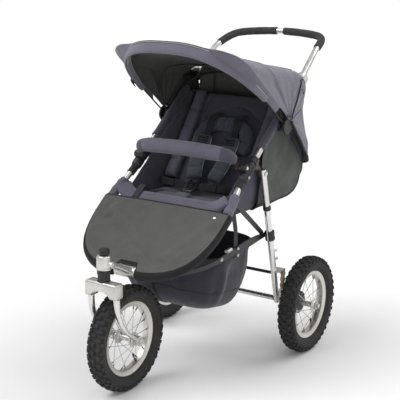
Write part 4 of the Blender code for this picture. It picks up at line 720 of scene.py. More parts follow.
def makeHub(prefix, centre, body, drumSide):
    w = wheelSet
    f, x, d = w["flange"], w["flangeX"], w["drum"]
    k = np.arange(w["spokes"])
    flange = np.where(k % 2 == 0, 1.0, -1.0)
    angle = 2 * np.pi * k / w["spokes"]

    def at(x, r, turn):
        return centre + np.stack([x + 0 * turn, r * np.cos(turn), r * np.sin(turn)], axis=1)

    starts = at(flange * x, w["hook"], angle + flange * w["lean"])
    ends = at(flange * 0.0030, w["rimInner"] + 0.0006, angle)
    inward = (starts - ends) / np.linalg.norm(starts - ends, axis=1, keepdims=True)
    outer = across * flange[:, None]
    bars = ((starts, ends, w["spokeRadius"], spokeMetal), (ends + inward * 0.011, ends, w["nippleRadius"], nippleMetal),
            (starts - outer * 0.0022, starts + outer * 0.0026, 0.0017, spokeMetal))
    laced = [repeated("spokes", *barShape(8), barPlaces(start, end, radius), finish, 50)
             for start, end, radius, finish in bars]
    settleJoined(prefix + "_spokes", laced, body, "silver_tube")

    half = [(0.0090, 0.0), (0.0088, 0.010), (0.0092, x - 0.0050), (0.0125, x - 0.0024), (f - 0.0008, x - 0.0016),
            (f, x - 0.0006), (f, x + 0.0006), (f - 0.0008, x + 0.0016), (0.0140, x + 0.0022), (0.0120, x + 0.0048),
            (0.0118, 0.0372), (0.0106, 0.0380), (0.0045, 0.0380)]
    parts = [turnedPiece("shell", bothSides(half), centre, across, castSilver, 56)]
    cover = [(0.0045, 0.0376), (0.0098, 0.0378), (0.0094, 0.0366), (0.0045, 0.0362)]
    parts += [turnedPiece("cover", cover, centre, across, blackPlastic, 40, side) for side in (1, -1)]
    if drumSide:
        drum = [(0.0098, x - 0.0050), (0.0200, x - 0.0050), (d - 0.0045, x - 0.0028), (d - 0.0010, x - 0.0016), (d, x),
                (d, 0.0300), (d - 0.0012, 0.0305), (d - 0.0012, 0.0318), (d, 0.0323), (d, 0.0346), (d - 0.0010, 0.0356),
                (d - 0.0045, 0.0362), (0.0210, 0.0366), (0.0200, 0.0378), (0.0098, 0.0378)]
        parts.append(turnedPiece("drum", drum, centre, across, blackSteel, 64, drumSide))
    settleJoined(prefix + "_hub_turned", parts, body, "cast_silver", prefix + "_hub")


def makeWheels():
    track = wheelSet["halfTrack"] * across
    axleRear = wheelSet["axleZ"] * up
    for prefix, centre, body, drumSide in (("front", axleFront, "front_wheel", 0),
                                           ("rear_left", axleRear + track, "rear_wheel_left", -1),
                                           ("rear_right", axleRear - track, "rear_wheel_right", 1)):
        makeTyre(prefix, centre, body)
        makeRim(prefix, centre, body)
        makeHub(prefix, centre, body, drumSide)


makeWheels()
print("stage: wheels")


# Fork and steering head

forkSet = {"headY": -0.704, "topZ": 0.429, "halfWidth": 0.0450, "bladeRadius": 0.0095, "crownFoot": 0.3084,
           "headRadius": 0.0210}


def makeFork():
    g = forkSet
    w, y, foot = g["halfWidth"], g["headY"], g["crownFoot"]
    path = smoothLine([(w, y, foot - 0.0003), (w, y, foot - 0.0063), (w, y + 0.008, foot - 0.050),
                       (w, y + 0.040, 0.2055), (w, *axleFront[1:])], 44)
    taper = g["bladeRadius"] * (1.0 - 0.42 * np.linspace(0.0, 1.0, len(path)))
    eye = bothEnds([(0.0046, -0.0062), (0.0130, -0.0062), (0.0140, -0.0052)])
    for name, side in sides:
        parts = [tubePiece("blade", onSide(path, side), taper, silverTube, across, 28),
                 turnedPiece("tip", eye, axleFront + side * w * across, across, castSilver, 44)]
        settleJoined("fork_blade_" + name + "_tapered", parts, "front_fork", "silver_tube", "fork_blade_" + name)
    settle(softened("fork_crown", castSilver, 0.0012), "front_fork", "cast_silver", "fork_crown")

    face = w + 0.0063
    inner = face + 0.0012
    washer = [(0.0030, face), (0.0098, face), (0.0098, inner), (0.0030, inner)]
    nut = [(0.0030, inner), (0.0085, inner), (0.0085, face + 0.0052), (0.0072, face + 0.0062), (0.0030, face + 0.0062)]
    parts = []
    for side in (1, -1):
        parts.append(turnedPiece("washer", washer, axleFront, across, boltMetal, 32, side))
        parts.append(turnedPiece("nut", nut, axleFront, across, boltMetal, 6, side, smoothAngle=20))
    ends = face + 0.0088
    parts.append(tubePiece("axle", [axleFront - ends * across, axleFront + ends * across], 0.0041, boltMetal, up, 20))
    settleJoined("front_axle_nuts", parts, "front_fork", "cast_silver", "front_axle")


def makeHead():
    y, top, r = (forkSet[key] for key in ("headY", "topZ", "headRadius"))
    middle = np.array([0.0, y, top - 0.020])
    cap = [(0.0, 0.0200), (0.0090, 0.0200), (0.0160, 0.0196), (0.0186, 0.0182), (0.0203, 0.0155), (r, 0.0110),
           (r, -0.0130), (r - 0.0012, -0.0138), (r - 0.0012, -0.0152), (r + 0.0006, -0.0164), (r + 0.0010, -0.0200),
           (0.0, -0.0200)]
    parts = [turnedPiece("cap", cap, middle, up, castSilver, 56)]
    loopFront = onTube(-0.600)
    t = np.linspace(0.0, 1.0, 14)
    start = np.array([0.0, y + 0.006, top - 0.022])
    line = start + (loopFront - start) * t[:, None]
    wide = 0.0165 + 0.0155 * t * t
    high = 0.0150 - 0.0030 * np.sin(np.pi * t)
    ring = roundProfile(28, 1.0, 3.4)
    neck = (line[:, None] + ring[None, :, :1] * wide[:, None, None] * across
            + ring[None, :, 1:] * high[:, None, None] * np.array([0.0, -0.4, 1.0]))
    parts.append(gridPiece("neck", neck, castSilver, closeColumns=True, caps=True, smoothAngle=40))
    clamp = bothEnds([(0.0108, -0.0360), (0.0160, -0.0360), (0.0172, -0.0346), (0.0172, -0.0050), (0.0164, -0.0042)])
    parts.append(turnedPiece("clamp", clamp, loopFront, across, castSilver))
    lug = [(0.0, 0.0120), (0.0085, 0.0120), (0.0085, 0.0318), (0.0076, 0.0328), (0.0, 0.0330)]
    bolt = [(0.0, 0.0322), (0.0046, 0.0324), (0.0046, 0.0345), (0.0034, 0.0352), (0.0, 0.0353)]
    parts.append(turnedPiece("lug", lug, middle - 0.004 * up, across, castSilver, 32))
    parts.append(turnedPiece("lug_bolt", bolt, middle - 0.004 * up, across, boltMetal, 6, smoothAngle=20))
    settleJoined("head_cast", parts, "frame", "cast_silver", "head_bracket")

    half = 0.0170
    collar = [(0.0115, half), (0.0178, half), (0.0188, half - 0.0010), (0.0195, half - 0.0030), (0.0196, 0.0050),
              (0.0186, 0.0030), (0.0176, 0.0), (0.0176, 0.0035 - half), (0.0186, 0.0015 - half), (0.0190, -half),
              (0.0115, -half)]
    below = np.array([0.0, y, top - 0.040 - 0.0003 - half])
    settle(turnedPiece("head_collar", collar, below, up, blackPlastic, 56), "frame", "black_plastic", "head_bearing")
    knob = np.array([(0.0, 0.0190), (0.0060, 0.0190), (0.0100, 0.0186), (0.0138, 0.0170), (0.0156, 0.0142),
                     (0.0161, 0.0105), (0.0158, 0.0060), (0.0148, 0.0030), (0.0120, 0.0006), (0.0060, 0.0004),
                     (0.0060, -0.0054), (0.0, -0.0054)])
    grid = turnedGrid(knob, (0.0, y, top), up, 72)
    nineFlutes = 0.5 + 0.5 * np.cos(9 * 2 * np.pi * np.arange(72) / 72)
    flute = 1.0 - 0.075 * nineFlutes[None, :] * bump(knob[:, 1], 0.010, 0.006)[:, None]
    grid[..., 0] *= flute
    grid[..., 1] = y + (grid[..., 1] - y) * flute
    piece = gridPiece("swivel_knob", grid, blackPlastic, closeColumns=True, caps=True, smoothAngle=50)
    settle(piece, "swivel_lock", "black_plastic", "swivel_lock_knob")


makeFork()
makeHead()
print("stage: fork and head")


# Frame tubes, sockets, brackets and knuckles

frameSet = {"loopFront": -0.600, "loopBend": -0.420, "loopHalf": 0.210, "loopPower": 2.8, "socketY": -0.275,
            "knuckleY": 0.030, "bumperRise": 0.022, "legDrop": 0.0508, "legY": -0.205}
legPivot = onTube(frameSet["legY"] - frameSet["legDrop"] * math.sin(slope)) - frameSet["legDrop"] * square
legFoot = np.array([0.0, -0.088, 0.186])
legLine = (legFoot - legPivot) / np.linalg.norm(legFoot - legPivot)
legX = 0.212
legRadius = 0.0095
bumperPivot = onTube(frameSet["socketY"]) + frameSet["bumperRise"] * square


def onLeg(z, x=0.0):
    return legPivot + legLine * ((z - legPivot[2]) / legLine[2]) + x * across


def loopPath(count=150):
    # half the loop: straight out of the socket, a short flare, then a rounded-square arch
    g = frameSet
    flare = [(0.195, -0.273), (0.195, -0.308), (0.202, -0.350), (0.209, -0.388), (0.210, -0.420)]
    turn = np.linspace(0.0, np.pi / 2, 40)[1:]
    x = g["loopHalf"] * np.maximum(np.cos(turn), 0.0) ** (2 / g["loopPower"])
    y = g["loopBend"] - (g["loopBend"] - g["loopFront"]) * np.sin(turn) ** (2 / g["loopPower"])
    y = np.where(x < 0.050, g["loopFront"], y)
    x[-1] = 0.0
    flat = np.vstack([smoothLine(flare, 12), np.stack([x, y], axis=1)])
    return evenly(mirrored(np.column_stack([flat, tubeZ(flat[:, 1])])), count)


def makeFrame():
    loop = tubePiece("front_loop_bent", loopPath(), tubeRadius, silverTube)
    settle(loop, "frame", "silver_tube", "front_loop")
    outer = 0.0165
    sleeve = bothEnds([(0.0103, 0.0350), (0.0134, 0.0350), (0.0150, 0.0330), (0.0163, 0.0270), (outer, 0.0240),
                       (outer, 0.0060), (0.0158, 0.0052)])
    boss = [(0.0, -0.0166), (0.0105, -0.0166), (0.0115, -0.0156), (0.0115, 0.0080), (0.0105, 0.0090), (0.0, 0.0090)]
    head = [(0.0, 0.0088), (0.0052, 0.0088), (0.0052, 0.0106), (0.0040, 0.0116), (0.0, 0.0118)]
    disc = bothEnds([(0.0, 0.0150), (0.0150, 0.0150), (0.0172, 0.0138), (0.0180, 0.0118), (0.0180, 0.0040),
                     (0.0172, 0.0030)])
    neck = [(0.0103, 0.0), (0.0135, 0.0), (0.0135, 0.0260), (0.0128, 0.0300), (0.0115, 0.0340), (0.0103, 0.0340)]
    for name, side in sides:
        x = side * tubeX
        socket, knuckle = onTube(frameSet["socketY"], x), onTube(frameSet["knuckleY"], x)
        path = straight(socket + 0.003 * along, knuckle - 0.008 * along, 12)
        tube = tubePiece("side_tube_" + name + "_drawn", path, tubeRadius, silverTube, across, 28)
        settle(tube, "frame", "silver_tube", "side_tube_" + name)

        pivot = bumperPivot + x * across
        bolt = socket + side * 0.0158 * across - 0.016 * along
        parts = [turnedPiece("sleeve", sleeve, socket, along, blackPlastic),
                 turnedPiece("boss", boss, pivot, across, blackPlastic, 40, side),
                 turnedPiece("rivet", head, pivot, across, boltMetal, 28, side),
                 turnedPiece("bolt", [(0.0, 0.0), (0.0042, 0.0), (0.0042, 0.0016), (0.0030, 0.0024), (0.0, 0.0026)],
                             bolt, across, boltMetal, 24, side)]
        settleJoined("bumper_socket_" + name + "_moulded", parts, "frame", "black_plastic", "bumper_socket_" + name)
        settle(softened("leg_bracket_" + name, blackSteel, 0.0006), "frame", "black_steel", "leg_bracket_" + name)
        parts = [turnedPiece("disc", disc, knuckle, across, blackPlastic, 52),
                 turnedPiece("neck", neck, knuckle, -along, blackPlastic, 44)]
        settleJoined("handle_knuckle_" + name + "_moulded", parts, "frame", "black_plastic", "handle_knuckle_" + name)
        for kind in ("side_rail_", "rail_strut_"):
            settle(softened(kind + name, blackSteel, 0.0007), "frame", "black_steel", kind + name)

        metal = []
        for y, z, outerX, size in ((-0.317, 0.397, 0.1990, 0.0048), (-0.317, 0.377, 0.1990, 0.0048),
                                   (-0.403, 0.3815, 0.1955, 0.0060)):
            dome = [(0.0, 0.0030), (size * 0.55, 0.0027), (size * 0.9, 0.0014), (size, 0.0), (size, -0.0012),
                    (0.0, -0.0012)]
            metal.append(turnedPiece("rivet", dome, (side * outerX, y, z), across, boltMetal, 28, side))
        bracket = onSide([(0.1965, -0.3790, 0.4000), (0.1965, -0.3560, 0.4040)], side)
        metal.append(tubePiece("bracket_end", bracket, 0.0064, castSilver, across, flat=0.8, power=3.0))
        settleJoined("rail_rivets_" + name, metal, "frame", "cast_silver")


def handlePath():
    x, gripX, topZ, backY = tubeX, 0.172, 1.012, 0.260
    rise = topZ - tubeZ(0.150)
    half = [onTube(frameSet["knuckleY"], x) + 0.030 * along, onTube(0.105, x - 0.003), onTube(0.150, x - 0.006),
            (gripX, backY - 0.036, topZ - 0.36 * rise), (gripX * 0.72, backY - 0.011, topZ - 0.12 * rise),
            (0.0, backY, topZ)]
    return smoothLine(mirrored(half), 150)


def makeHandle():
    path = handlePath()
    parts = [tubePiece("bar", path, tubeRadius, silverTube, square, 28)]
    collar = [(0.0098, 0.0190), (0.0150, 0.0190), (0.0166, 0.0215), (0.0166, 0.0330), (0.0140, 0.0385),
              (0.0104, 0.0398), (0.0098, 0.0398)]
    pin = [(0.0, 0.0150), (0.0040, 0.0150), (0.0040, 0.0182), (0.0066, 0.0182), (0.0066, 0.0186), (0.0, 0.0188)]
    s = np.linspace(-0.012, 0.032, 16)
    wide = 0.0132 * np.where(s < 0.0, np.sqrt(np.maximum(1 - (s / 0.0131) ** 2, 0.02)), 1.0)
    profile = roundProfile(24, 1.0, 5.0)[None] * np.stack([0 * s + 0.0014, wide], axis=1)[:, None]
    for side in (1, -1):
        knuckle = onTube(frameSet["knuckleY"], side * tubeX)
        parts.append(turnedPiece("collar", collar, knuckle, along, castSilver, 44))
        for face in (1, -1):
            plate = knuckle + face * 0.0168 * across
            cheek = straight(plate - 0.012 * along, plate + 0.032 * along, 16)
            parts.append(barPiece("cheek", cheek, profile, across, castSilver, 40))
            parts.append(turnedPiece("pin", pin, knuckle, across, boltMetal, 28, face))
    settleJoined("handle_bar_bent", parts, "handle", "silver_tube", "handle_bar")

    for name, side in sides:
        half = onSide(path[path[:, 0] > 0.009], side)
        line = evenly(half[int(np.argmax(half[:, 2] > 0.9655)):], 90)
        s = lengthAlong(line)
        radius = 0.0128 - 0.0012 * np.exp(-fromEnds(s) / 0.0016)
        radius = radius + 0.00025 * np.sin(s / 0.0062) * np.sin(s / 0.0171 + side)
        grip = tubePiece("handle_grip_" + name + "_foam", line, radius, foamGrip, square, 32, smoothAngle=60)
        settle(grip, "handle", "foam_grip", "handle_grip_" + name)


makeFrame()
makeHandle()
print("stage: frame and handle")


# Rear legs, latches, suspension and brake

def makeRearLegs():
    bolt = [(0.0, -0.0195), (0.0040, -0.0195), (0.0040, 0.0094), (0.0078, 0.0094), (0.0078, 0.0104), (0.0062, 0.0108),
            (0.0056, 0.0122), (0.0, 0.0125)]
    pin = [(0.0, 0.0), (0.0040, 0.0), (0.0040, 0.0202), (0.0060, 0.0202), (0.0060, 0.0206), (0.0, 0.0208)]
    collar = bothEnds([(0.0094, -0.0070), (0.0116, -0.0070), (0.0125, -0.0060)])
    sleeve = bothEnds([(0.0100, -0.0150), (0.0140, -0.0150), (0.0153, -0.0138), (0.0155, -0.0120), (0.0155, -0.0040),
                       (0.0147, -0.0030)])
    ahead = np.cross(legLine, across)
    for name, side in sides:
        x = side * legX * across
        line = straight(legPivot - 0.013 * legLine + x, legFoot + 0.012 * legLine + x, 20)
        parts = [tubePiece("leg", line, legRadius, silverTube, across, 28),
                 turnedPiece("bolt", bolt, legPivot + x, across, boltMetal, 32, side),
                 turnedPiece("pin", pin, legFoot + x, across, boltMetal, 28, side),
                 turnedPiece("guide", collar, onLeg(0.498) + x, legLine, blackPlastic, 40)]
        for z in (0.352, 0.324):
            tab = onLeg(z) + x + np.array([side * 0.003, 0.0085, 0.0])
            tab = [tab, tab + np.array([side * 0.005, 0.011, 0.001])]
            parts.append(tubePiece("tab", tab, 0.0042, castSilver, legLine, 16, flat=0.45, power=4.0))
        shelf = onLeg(0.2855, side * (legX + 0.013)) + np.array([0, 0.012, 0])
        bar = straight(shelf - 0.015 * across, shelf + 0.015 * across, 3)
        parts.append(tubePiece("shelf", bar, 0.0150, castSilver, np.array([0, 1.0, 0.2]), 32, flat=0.20, power=7.0))
        settleJoined("rear_leg_" + name + "_drawn", parts, "rear_legs", "silver_tube", "rear_leg_" + name)

        seat = onLeg(0.406) + x
        rod = seat + ahead * 0.0145 + legLine * 0.012
        parts = [turnedPiece("sleeve", sleeve, seat, legLine, blackPlastic, 44),
                 tubePiece("rod", [rod, rod - legLine * 0.086], 0.0022, spokeMetal, across, 16)]
        settleJoined("fold_latch_" + name + "_sleeve", parts, "latch_" + name, "black_plastic", "fold_latch_" + name)

    inner = (legX - legRadius - 0.0003) * across
    line = straight(legFoot - inner, legFoot + inner, 24)
    bar = tubePiece("lower_crossbar_drawn", line, 0.0085, silverTube, up, 28)
    settle(bar, "rear_legs", "silver_tube", "lower_crossbar")

    middle = onLeg(0.276)
    back = inYZ(-14)
    centre = middle + np.array([-0.030, 0.027, -0.006])
    plate = straight(centre - 0.0260 * back, centre + 0.0260 * back, 20)
    parts = [tubePiece("bar", straight(middle - inner, middle + inner, 24), 0.0050, blackSteel, up),
             tubePiece("pedal", plate, 0.0278, blackPlastic, across, 40, flat=0.105, power=8.0)]
    for s in np.linspace(-0.006, 0.022, 6):
        spot = centre + back * s + inYZ(76) * 0.0032
        parts.append(tubePiece("rib", [spot - 0.021 * across, spot + 0.021 * across], 0.0012, blackPlastic, up, 10))
    settleJoined("brake_bar_pedal", parts, "brake", "black_steel", "brake_bar")


def makeSuspension():
    h = np.linspace(0.0300, -0.0300, 61)
    r = 0.0085 - 0.0024 * np.abs(np.cos(np.pi * (h / 0.020 + 0.5))) ** 3
    profile = [(0.0, 0.0300), *zip(r, h), (0.0, -0.0300)]
    for name, side in sides:
        settle(softened("rear_arm_" + name, castSilver, 0.0008), "arm_" + name, "cast_silver", "rear_arm_" + name)
        centre = (side * 0.2285, -0.083, 0.252)
        spring = turnedPiece("rear_spring_" + name + "_cast", profile, centre, up, elastomer, 36, smoothAngle=60)
        settle(spring, "arm_" + name, "elastomer", "rear_spring_" + name)


makeRearLegs()
makeSuspension()
print("stage: rear legs and suspension")


# Cloth helpers: outward normals of a grid, creases, and lines that lie on it

def gridNormals(grid, away):
    # cross product of the two grid directions, turned to point away from a given place
    n = np.cross(np.gradient(grid, axis=0), np.gradient(grid, axis=1))
    n /= np.maximum(np.linalg.norm(n, axis=2, keepdims=True), 1e-9)
    facing = np.sign(np.sum(n * (grid - away), axis=2, keepdims=True))
    return n * np.where(facing == 0, 1.0, facing)


def segmentBump(grid, a, b, width):
    # 1 along the line from a to b, fading to 0 a width away, thinner towards b
    a, b = np.array(a, float), np.array(b, float)
    line = b - a
    t = np.clip(np.sum((grid - a) * line, axis=-1) / np.dot(line, line), 0.0, 1.0)
    gap = np.linalg.norm(grid - (a + t[..., None] * line), axis=-1)
    return np.exp(-(gap / (width * (1.0 - 0.5 * t))) ** 2) * (1.0 - 0.6 * t)


def creased(total, grid, pulls, ways=(1,)):
    # adds pulls in the cloth to a grid of depths: each has a start, an end, a width and a depth
    for side in ways:
        for start, end, width, depth in pulls:
            total = total + depth * segmentBump(grid, onSide(start, side), onSide(end, side), width)
    return total


def gridLine(grid, row=None, column=None, lift=0.0, normals=None):
    # a row or column of the grid, lifted off it; a share between whole numbers picks between neighbours
    source = grid if normals is None else grid + normals * lift
    at = row if column is None else column
    if column is not None:
        source = np.swapaxes(source, 0, 1)
    k = min(int(at), len(source) - 2)
    return source[k] * (1 - (at - k)) + source[k + 1] * (at - k)


def gridArea(grid):
    # sum over the faces of half the cross product of their diagonals
    first, second = grid[1:, 1:] - grid[:-1, :-1], grid[1:, :-1] - grid[:-1, 1:]
    return float(np.linalg.norm(np.cross(first, second), axis=2).sum() / 2)


def piping(name, path, radius, finish, reference):
    line = evenly(path, max(int(lengthAlong(path)[-1] / 0.006), 8))
    return tubePiece(name, line, radius, finish, reference, 10, smoothAngle=60)


def stitches(path, outward, finish):
    # short stitches end to end along a line
    pitch, length, thick = 0.0042, 0.0028, 0.00045
    ends = evenly(path, max(int(lengthAlong(path)[-1] / pitch), 2) + 1)
    at, step = ends[:-1], np.diff(ends, axis=0)
    step /= np.linalg.norm(step, axis=1, keepdims=True)
    out = np.broadcast_to(np.array(outward, float), at.shape)
    out = out - step * np.sum(out * step, axis=1, keepdims=True)
    out /= np.maximum(np.linalg.norm(out, axis=1, keepdims=True), 1e-9)
    places = np.stack([at, np.cross(step, out) * thick, out * thick * 0.8, step * length], axis=1)
    return repeated("stitches", *barShape(5), places, finish, 60)


def solidCloth(piece, thickness, lining=0, offset=0.0):
    wall = piece.modifiers.new("cloth thickness", "SOLIDIFY")
    wall.thickness = thickness
    wall.offset = offset
    wall.material_offset = lining
    return piece


def strapPiece(name, path, reference, width, thick, finish):
    # flat webbing: the reference is the strap's width direction
    line = smoothLine(path, max(int(lengthAlong(np.array(path))[-1] / 0.004), 10))
    return barPiece(name, line, roundProfile(16, 1.0, 5.0) * [width / 2, thick / 2], reference, finish, 50)


def ripples(grid, seed, pitch, size):
    # slow unevenness: a few crossed waves whose directions come from a seeded list
    numbers = np.random.RandomState(seed)
    total = np.zeros(grid.shape[:-1])
    for _ in range(7):
        direction = numbers.normal(size=3)
        direction /= np.linalg.norm(direction)
        total += np.sin(grid @ direction * (2 * np.pi / (pitch * (0.7 + 0.6 * numbers.rand()))) + 6.28 * numbers.rand())
    return size * total / 2.6


blackCloth = wovenCloth("black cloth", (0.010, 0.010, 0.011), (0.022, 0.022, 0.024), 0.0011, 0.08)
threadDark = strapCloth("dark thread", (0.020, 0.020, 0.024), (0.040, 0.040, 0.046))
threadGrey = strapCloth("grey thread", (0.12, 0.12, 0.13), (0.22, 0.22, 0.24))


# Hood: a curved sheet cut in two behind the rear bow, bows in sleeves, and the padded brim

hoodSet = {"front": 145.0, "mid": 118.0, "rear": 52.0, "innerX": 0.236, "sag": 0.0055, "thick": 0.0016,
           "brimHalf": 0.0180, "brimThick": 0.0082, "slot": (0.1750, 0.2150)}
# half width, reach and power of each bow
bowSet = {"front": (0.226, 0.415, 2.9), "mid": (0.2195, 0.198, 3.4), "rear": (0.2115, 0.178, 3.4)}
hoodLine = [(-0.4099, 0.9856), (-0.330, 0.968), (-0.235, 0.946), (-0.130, 0.930), (-0.050, 0.916), (0.012, 0.905),
            (0.048, 0.883), (0.061, 0.840), (0.062, 0.775), (0.078, 0.712), (0.094, 0.655), (0.098, 0.600)]
hoodPivot = np.array([0.0, -0.100, 0.743])
hoodFan = np.array([0.0, -0.088, 0.760])


def bowLine(bow, start, count, wider=0.0):
    # x and reach follow a rounded square of the bow's power, in its turned plane
    half, reach, power = bowSet[bow]
    turn = np.linspace(start, np.pi / 2, count)
    c, s = np.maximum(np.cos(turn), 0.0), np.sin(turn)
    x, r = (half + wider) * c ** (2 / power), (reach + wider) * s ** (2 / power)
    x[-1] = 0.0
    return mirrored(hoodPivot + x[:, None] * across + r[:, None] * inYZ(hoodSet[bow]))


def hoodGrid():
    # each row goes straight up a side, round the corner and over the crown
    listed = np.array(hoodLine)
    line = smoothLine(listed, 110)
    share = np.interp(lengthAlong(line), lengthAlong(listed) * lengthAlong(line)[-1] / lengthAlong(listed)[-1],
                      np.arange(len(listed)) / (len(listed) - 1.0))
    outer = np.stack([0 * share, line[:, 0], line[:, 1]], axis=1)
    out = (outer - hoodFan) / np.linalg.norm(outer - hoodFan, axis=1, keepdims=True)
    inner = hoodFan + 0.008 * out
    reach = np.linalg.norm(outer - inner, axis=1)[:, None]
    outerX = (0.232 - 0.011 * np.minimum(share / 0.4, 1.0))[:, None]
    corner = (0.085 - 0.045 * np.minimum(share / 0.35, 1.0))[:, None]
    crown = (0.020 * (1 - 0.6 * share))[:, None]
    t = np.linspace(0.0, 1.0, 34)[None, :]
    a = np.linspace(0.0, np.pi / 2, 12)[None, 1:]
    q = np.linspace(1.0, 0.0, 20)[None, 1:]
    r1 = t * (reach - corner)
    x1 = hoodSet["innerX"] + (outerX - hoodSet["innerX"]) * r1 / reach
    r2, x2 = reach - corner + corner * np.sin(a), outerX - corner + corner * np.cos(a)
    r3, x3 = reach + crown * (1 - q * q), q * (outerX - corner)
    r, x = np.hstack([r1, r2, r3]), np.hstack([x1, x2, x3])
    half = inner[:, None] + out[:, None] * r[..., None] + x[..., None] * across
    grid = np.concatenate([half, half[:, -2::-1] * [-1, 1, 1]], axis=1)
    angle = np.degrees(np.arctan2(outer[:, 2] - hoodPivot[2], outer[:, 1] - hoodPivot[1]))
    return grid, angle


def hoodCreases(grid, normals, angle):
    # the cloth falls in between its bows, puckers by the pivots, and has pulls at the rear corners
    g = hoodSet
    top = np.clip((grid[..., 2] - 0.78) / 0.10, 0.0, 1.0)
    a = angle[:, None]
    front = np.sin(np.pi * np.clip((142 - a) / (142 - g["mid"]), 0, 1))
    middle = np.sin(np.pi * np.clip((g["mid"] - a) / (g["mid"] - g["rear"]), 0, 1))
    rear = np.sin(np.pi * np.clip((g["rear"] - a) / 92.0, 0, 1))
    fall = -g["sag"] * (0.6 * front * top + 1.0 * middle * (0.35 + 0.65 * top) + 0.9 * rear)
    radius = np.linalg.norm((grid - hoodFan)[..., 1:], axis=-1)
    pleats = 0.0016 * np.sin(np.radians(a) * 17.0 + 0.6) * np.exp(-(radius / 0.10) ** 2)
    total = fall + pleats + ripples(grid, 4, 0.16, 0.0012) * top + ripples(grid, 9, 0.07, 0.0004)
    pulls = [((0.205, 0.020, 0.895), (0.120, -0.085, 0.925), 0.011, -0.0030),
             ((0.205, 0.030, 0.880), (0.060, -0.020, 0.920), 0.010, 0.0026),
             ((0.224, 0.010, 0.880), (0.226, -0.090, 0.800), 0.012, -0.0034),
             ((0.222, 0.040, 0.850), (0.224, -0.050, 0.760), 0.011, 0.0028),
             ((0.222, 0.055, 0.800), (0.225, -0.060, 0.740), 0.012, -0.0030),
             ((0.190, -0.160, 0.925), (0.120, -0.060, 0.922), 0.013, -0.0026),
             ((0.226, -0.180, 0.880), (0.230, -0.110, 0.780), 0.014, -0.0030),
             ((0.222, 0.088, 0.660), (0.224, -0.010, 0.720), 0.012, 0.0028),
             ((0.222, 0.080, 0.620), (0.224, -0.030, 0.700), 0.011, -0.0026)]
    total = creased(total, grid, pulls, (1, -1))
    edge = np.minimum(np.arange(len(grid)) / 4.0, 1.0)[:, None]
    return grid + normals * (total * edge)[..., None]


def rowAt(angle, value):
    # row number whose fan angle is the value; the angles fall from front to rear
    return float(np.interp(-value, -angle, np.arange(len(angle))))


def bisect(shape, place, normal, faces=None, **clear):
    # cuts the whole mesh, or only the given faces, along a plane
    geom = shape.verts[:] + shape.edges[:] + shape.faces[:]
    if faces is not None:
        geom = [*{v: 0 for f in faces for v in f.verts}, *{e: 0 for f in faces for e in f.edges}, *faces]
    bmesh.ops.bisect_plane(shape, geom=geom, dist=1e-6, plane_co=place, plane_no=normal, **clear)


def slotCloth(piece):
    # opens the hood round each handle joint, so that the handle can tip
    knuckle = onTube(frameSet["knuckleY"]) + shift
    inner, outer = hoodSet["slot"]
    turns = [math.radians(-56), math.radians(98)]

    def near(face, margin):
        c = face.calc_center_median()
        return inner - margin < abs(c.x) < outer + margin and c.z > 0.78 and c.y > knuckle[1] - 0.06

    with opened(piece.data) as shape:
        for x in (inner, outer, -inner, -outer):
            bisect(shape, (x, 0, 0), (1, 0, 0))
        for turn in turns:
            bisect(shape, knuckle, (0, -math.sin(turn), math.cos(turn)), [f for f in shape.faces if near(f, 0.001)])
        gone = []
        for face in shape.faces:
            c = face.calc_center_median()
            if near(face, 0.0) and turns[0] < math.atan2(c.z - knuckle[2], c.y - knuckle[1]) < turns[1]:
                gone.append(face)
        bmesh.ops.delete(shape, geom=gone, context="FACES")


pushLine = np.array([0.0, 0.788, -0.616])      # square to the rear bow, down and backwards
pushed = {"cut": 0.040, "from": 0.045, "to": 0.130}


def pushPlace(key):
    return hoodFan + shift + pushed[key] * pushLine


def cutBehind(piece, name, closed):
    # the part that a reclined backrest pushes out, cut off as a piece of its own
    rear = piece.copy()
    rear.data = piece.data.copy()
    rear.name = rear.data.name = name
    scene.collection.objects.link(rear)
    for one, way in ((piece, 1.0), (rear, -1.0)):
        with opened(one.data) as shape:
            bisect(shape, pushPlace("cut"), pushLine * way, clear_outer=True)
            if closed:
                bmesh.ops.holes_fill(shape, edges=[e for e in shape.edges if e.is_boundary], sides=0)
    return rear


def followBack(piece):
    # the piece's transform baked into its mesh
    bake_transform(piece)


def atX(grid, rows, x):
    # the grid's point at a given x in each of the rows, on the half where x falls along the row
    halves = [grid[row][:grid.shape[1] // 2 + 1][::-1] for row in rows]
    return np.array([[x] + [np.interp(x, half[:, 0], half[:, k]) for k in (1, 2)] for half in halves])


def hoodCuff(side):
    # gathered cuff round the side tube, close in front of the handle joint
    reach = np.linspace(0.0, 1.0, 9)
    line = onTube(frameSet["knuckleY"], side * tubeX) - along * (0.052 - 0.020 * reach)[:, None]
    gather = 1 + 0.05 * np.sin(np.arange(48) * 2 * np.pi / 48 * 12)[None] * reach[:, None]
    ring = roundProfile(48)[None] * (gather * (0.0106 + 0.0210 * reach)[:, None])[..., None]
    return gridPiece("cuff", carried(line, ring, across), blackCloth, closeColumns=True)


def hoodGusset(side):
    # cloth beside the slot, inboard of the handle's swing
    inward, fall = np.meshgrid(np.linspace(0.0, 1.0, 12), np.linspace(0.0, 1.0, 16))
    y = 0.0320 + 0.0240 * inward ** 2 - 0.004 * np.sin(3.1 * fall)
    grid = np.stack([side * (0.1755 - 0.0430 * inward), y, 0.8900 - 0.1000 * fall], axis=2)
    return gridPiece("gusset", grid, liningCloth)


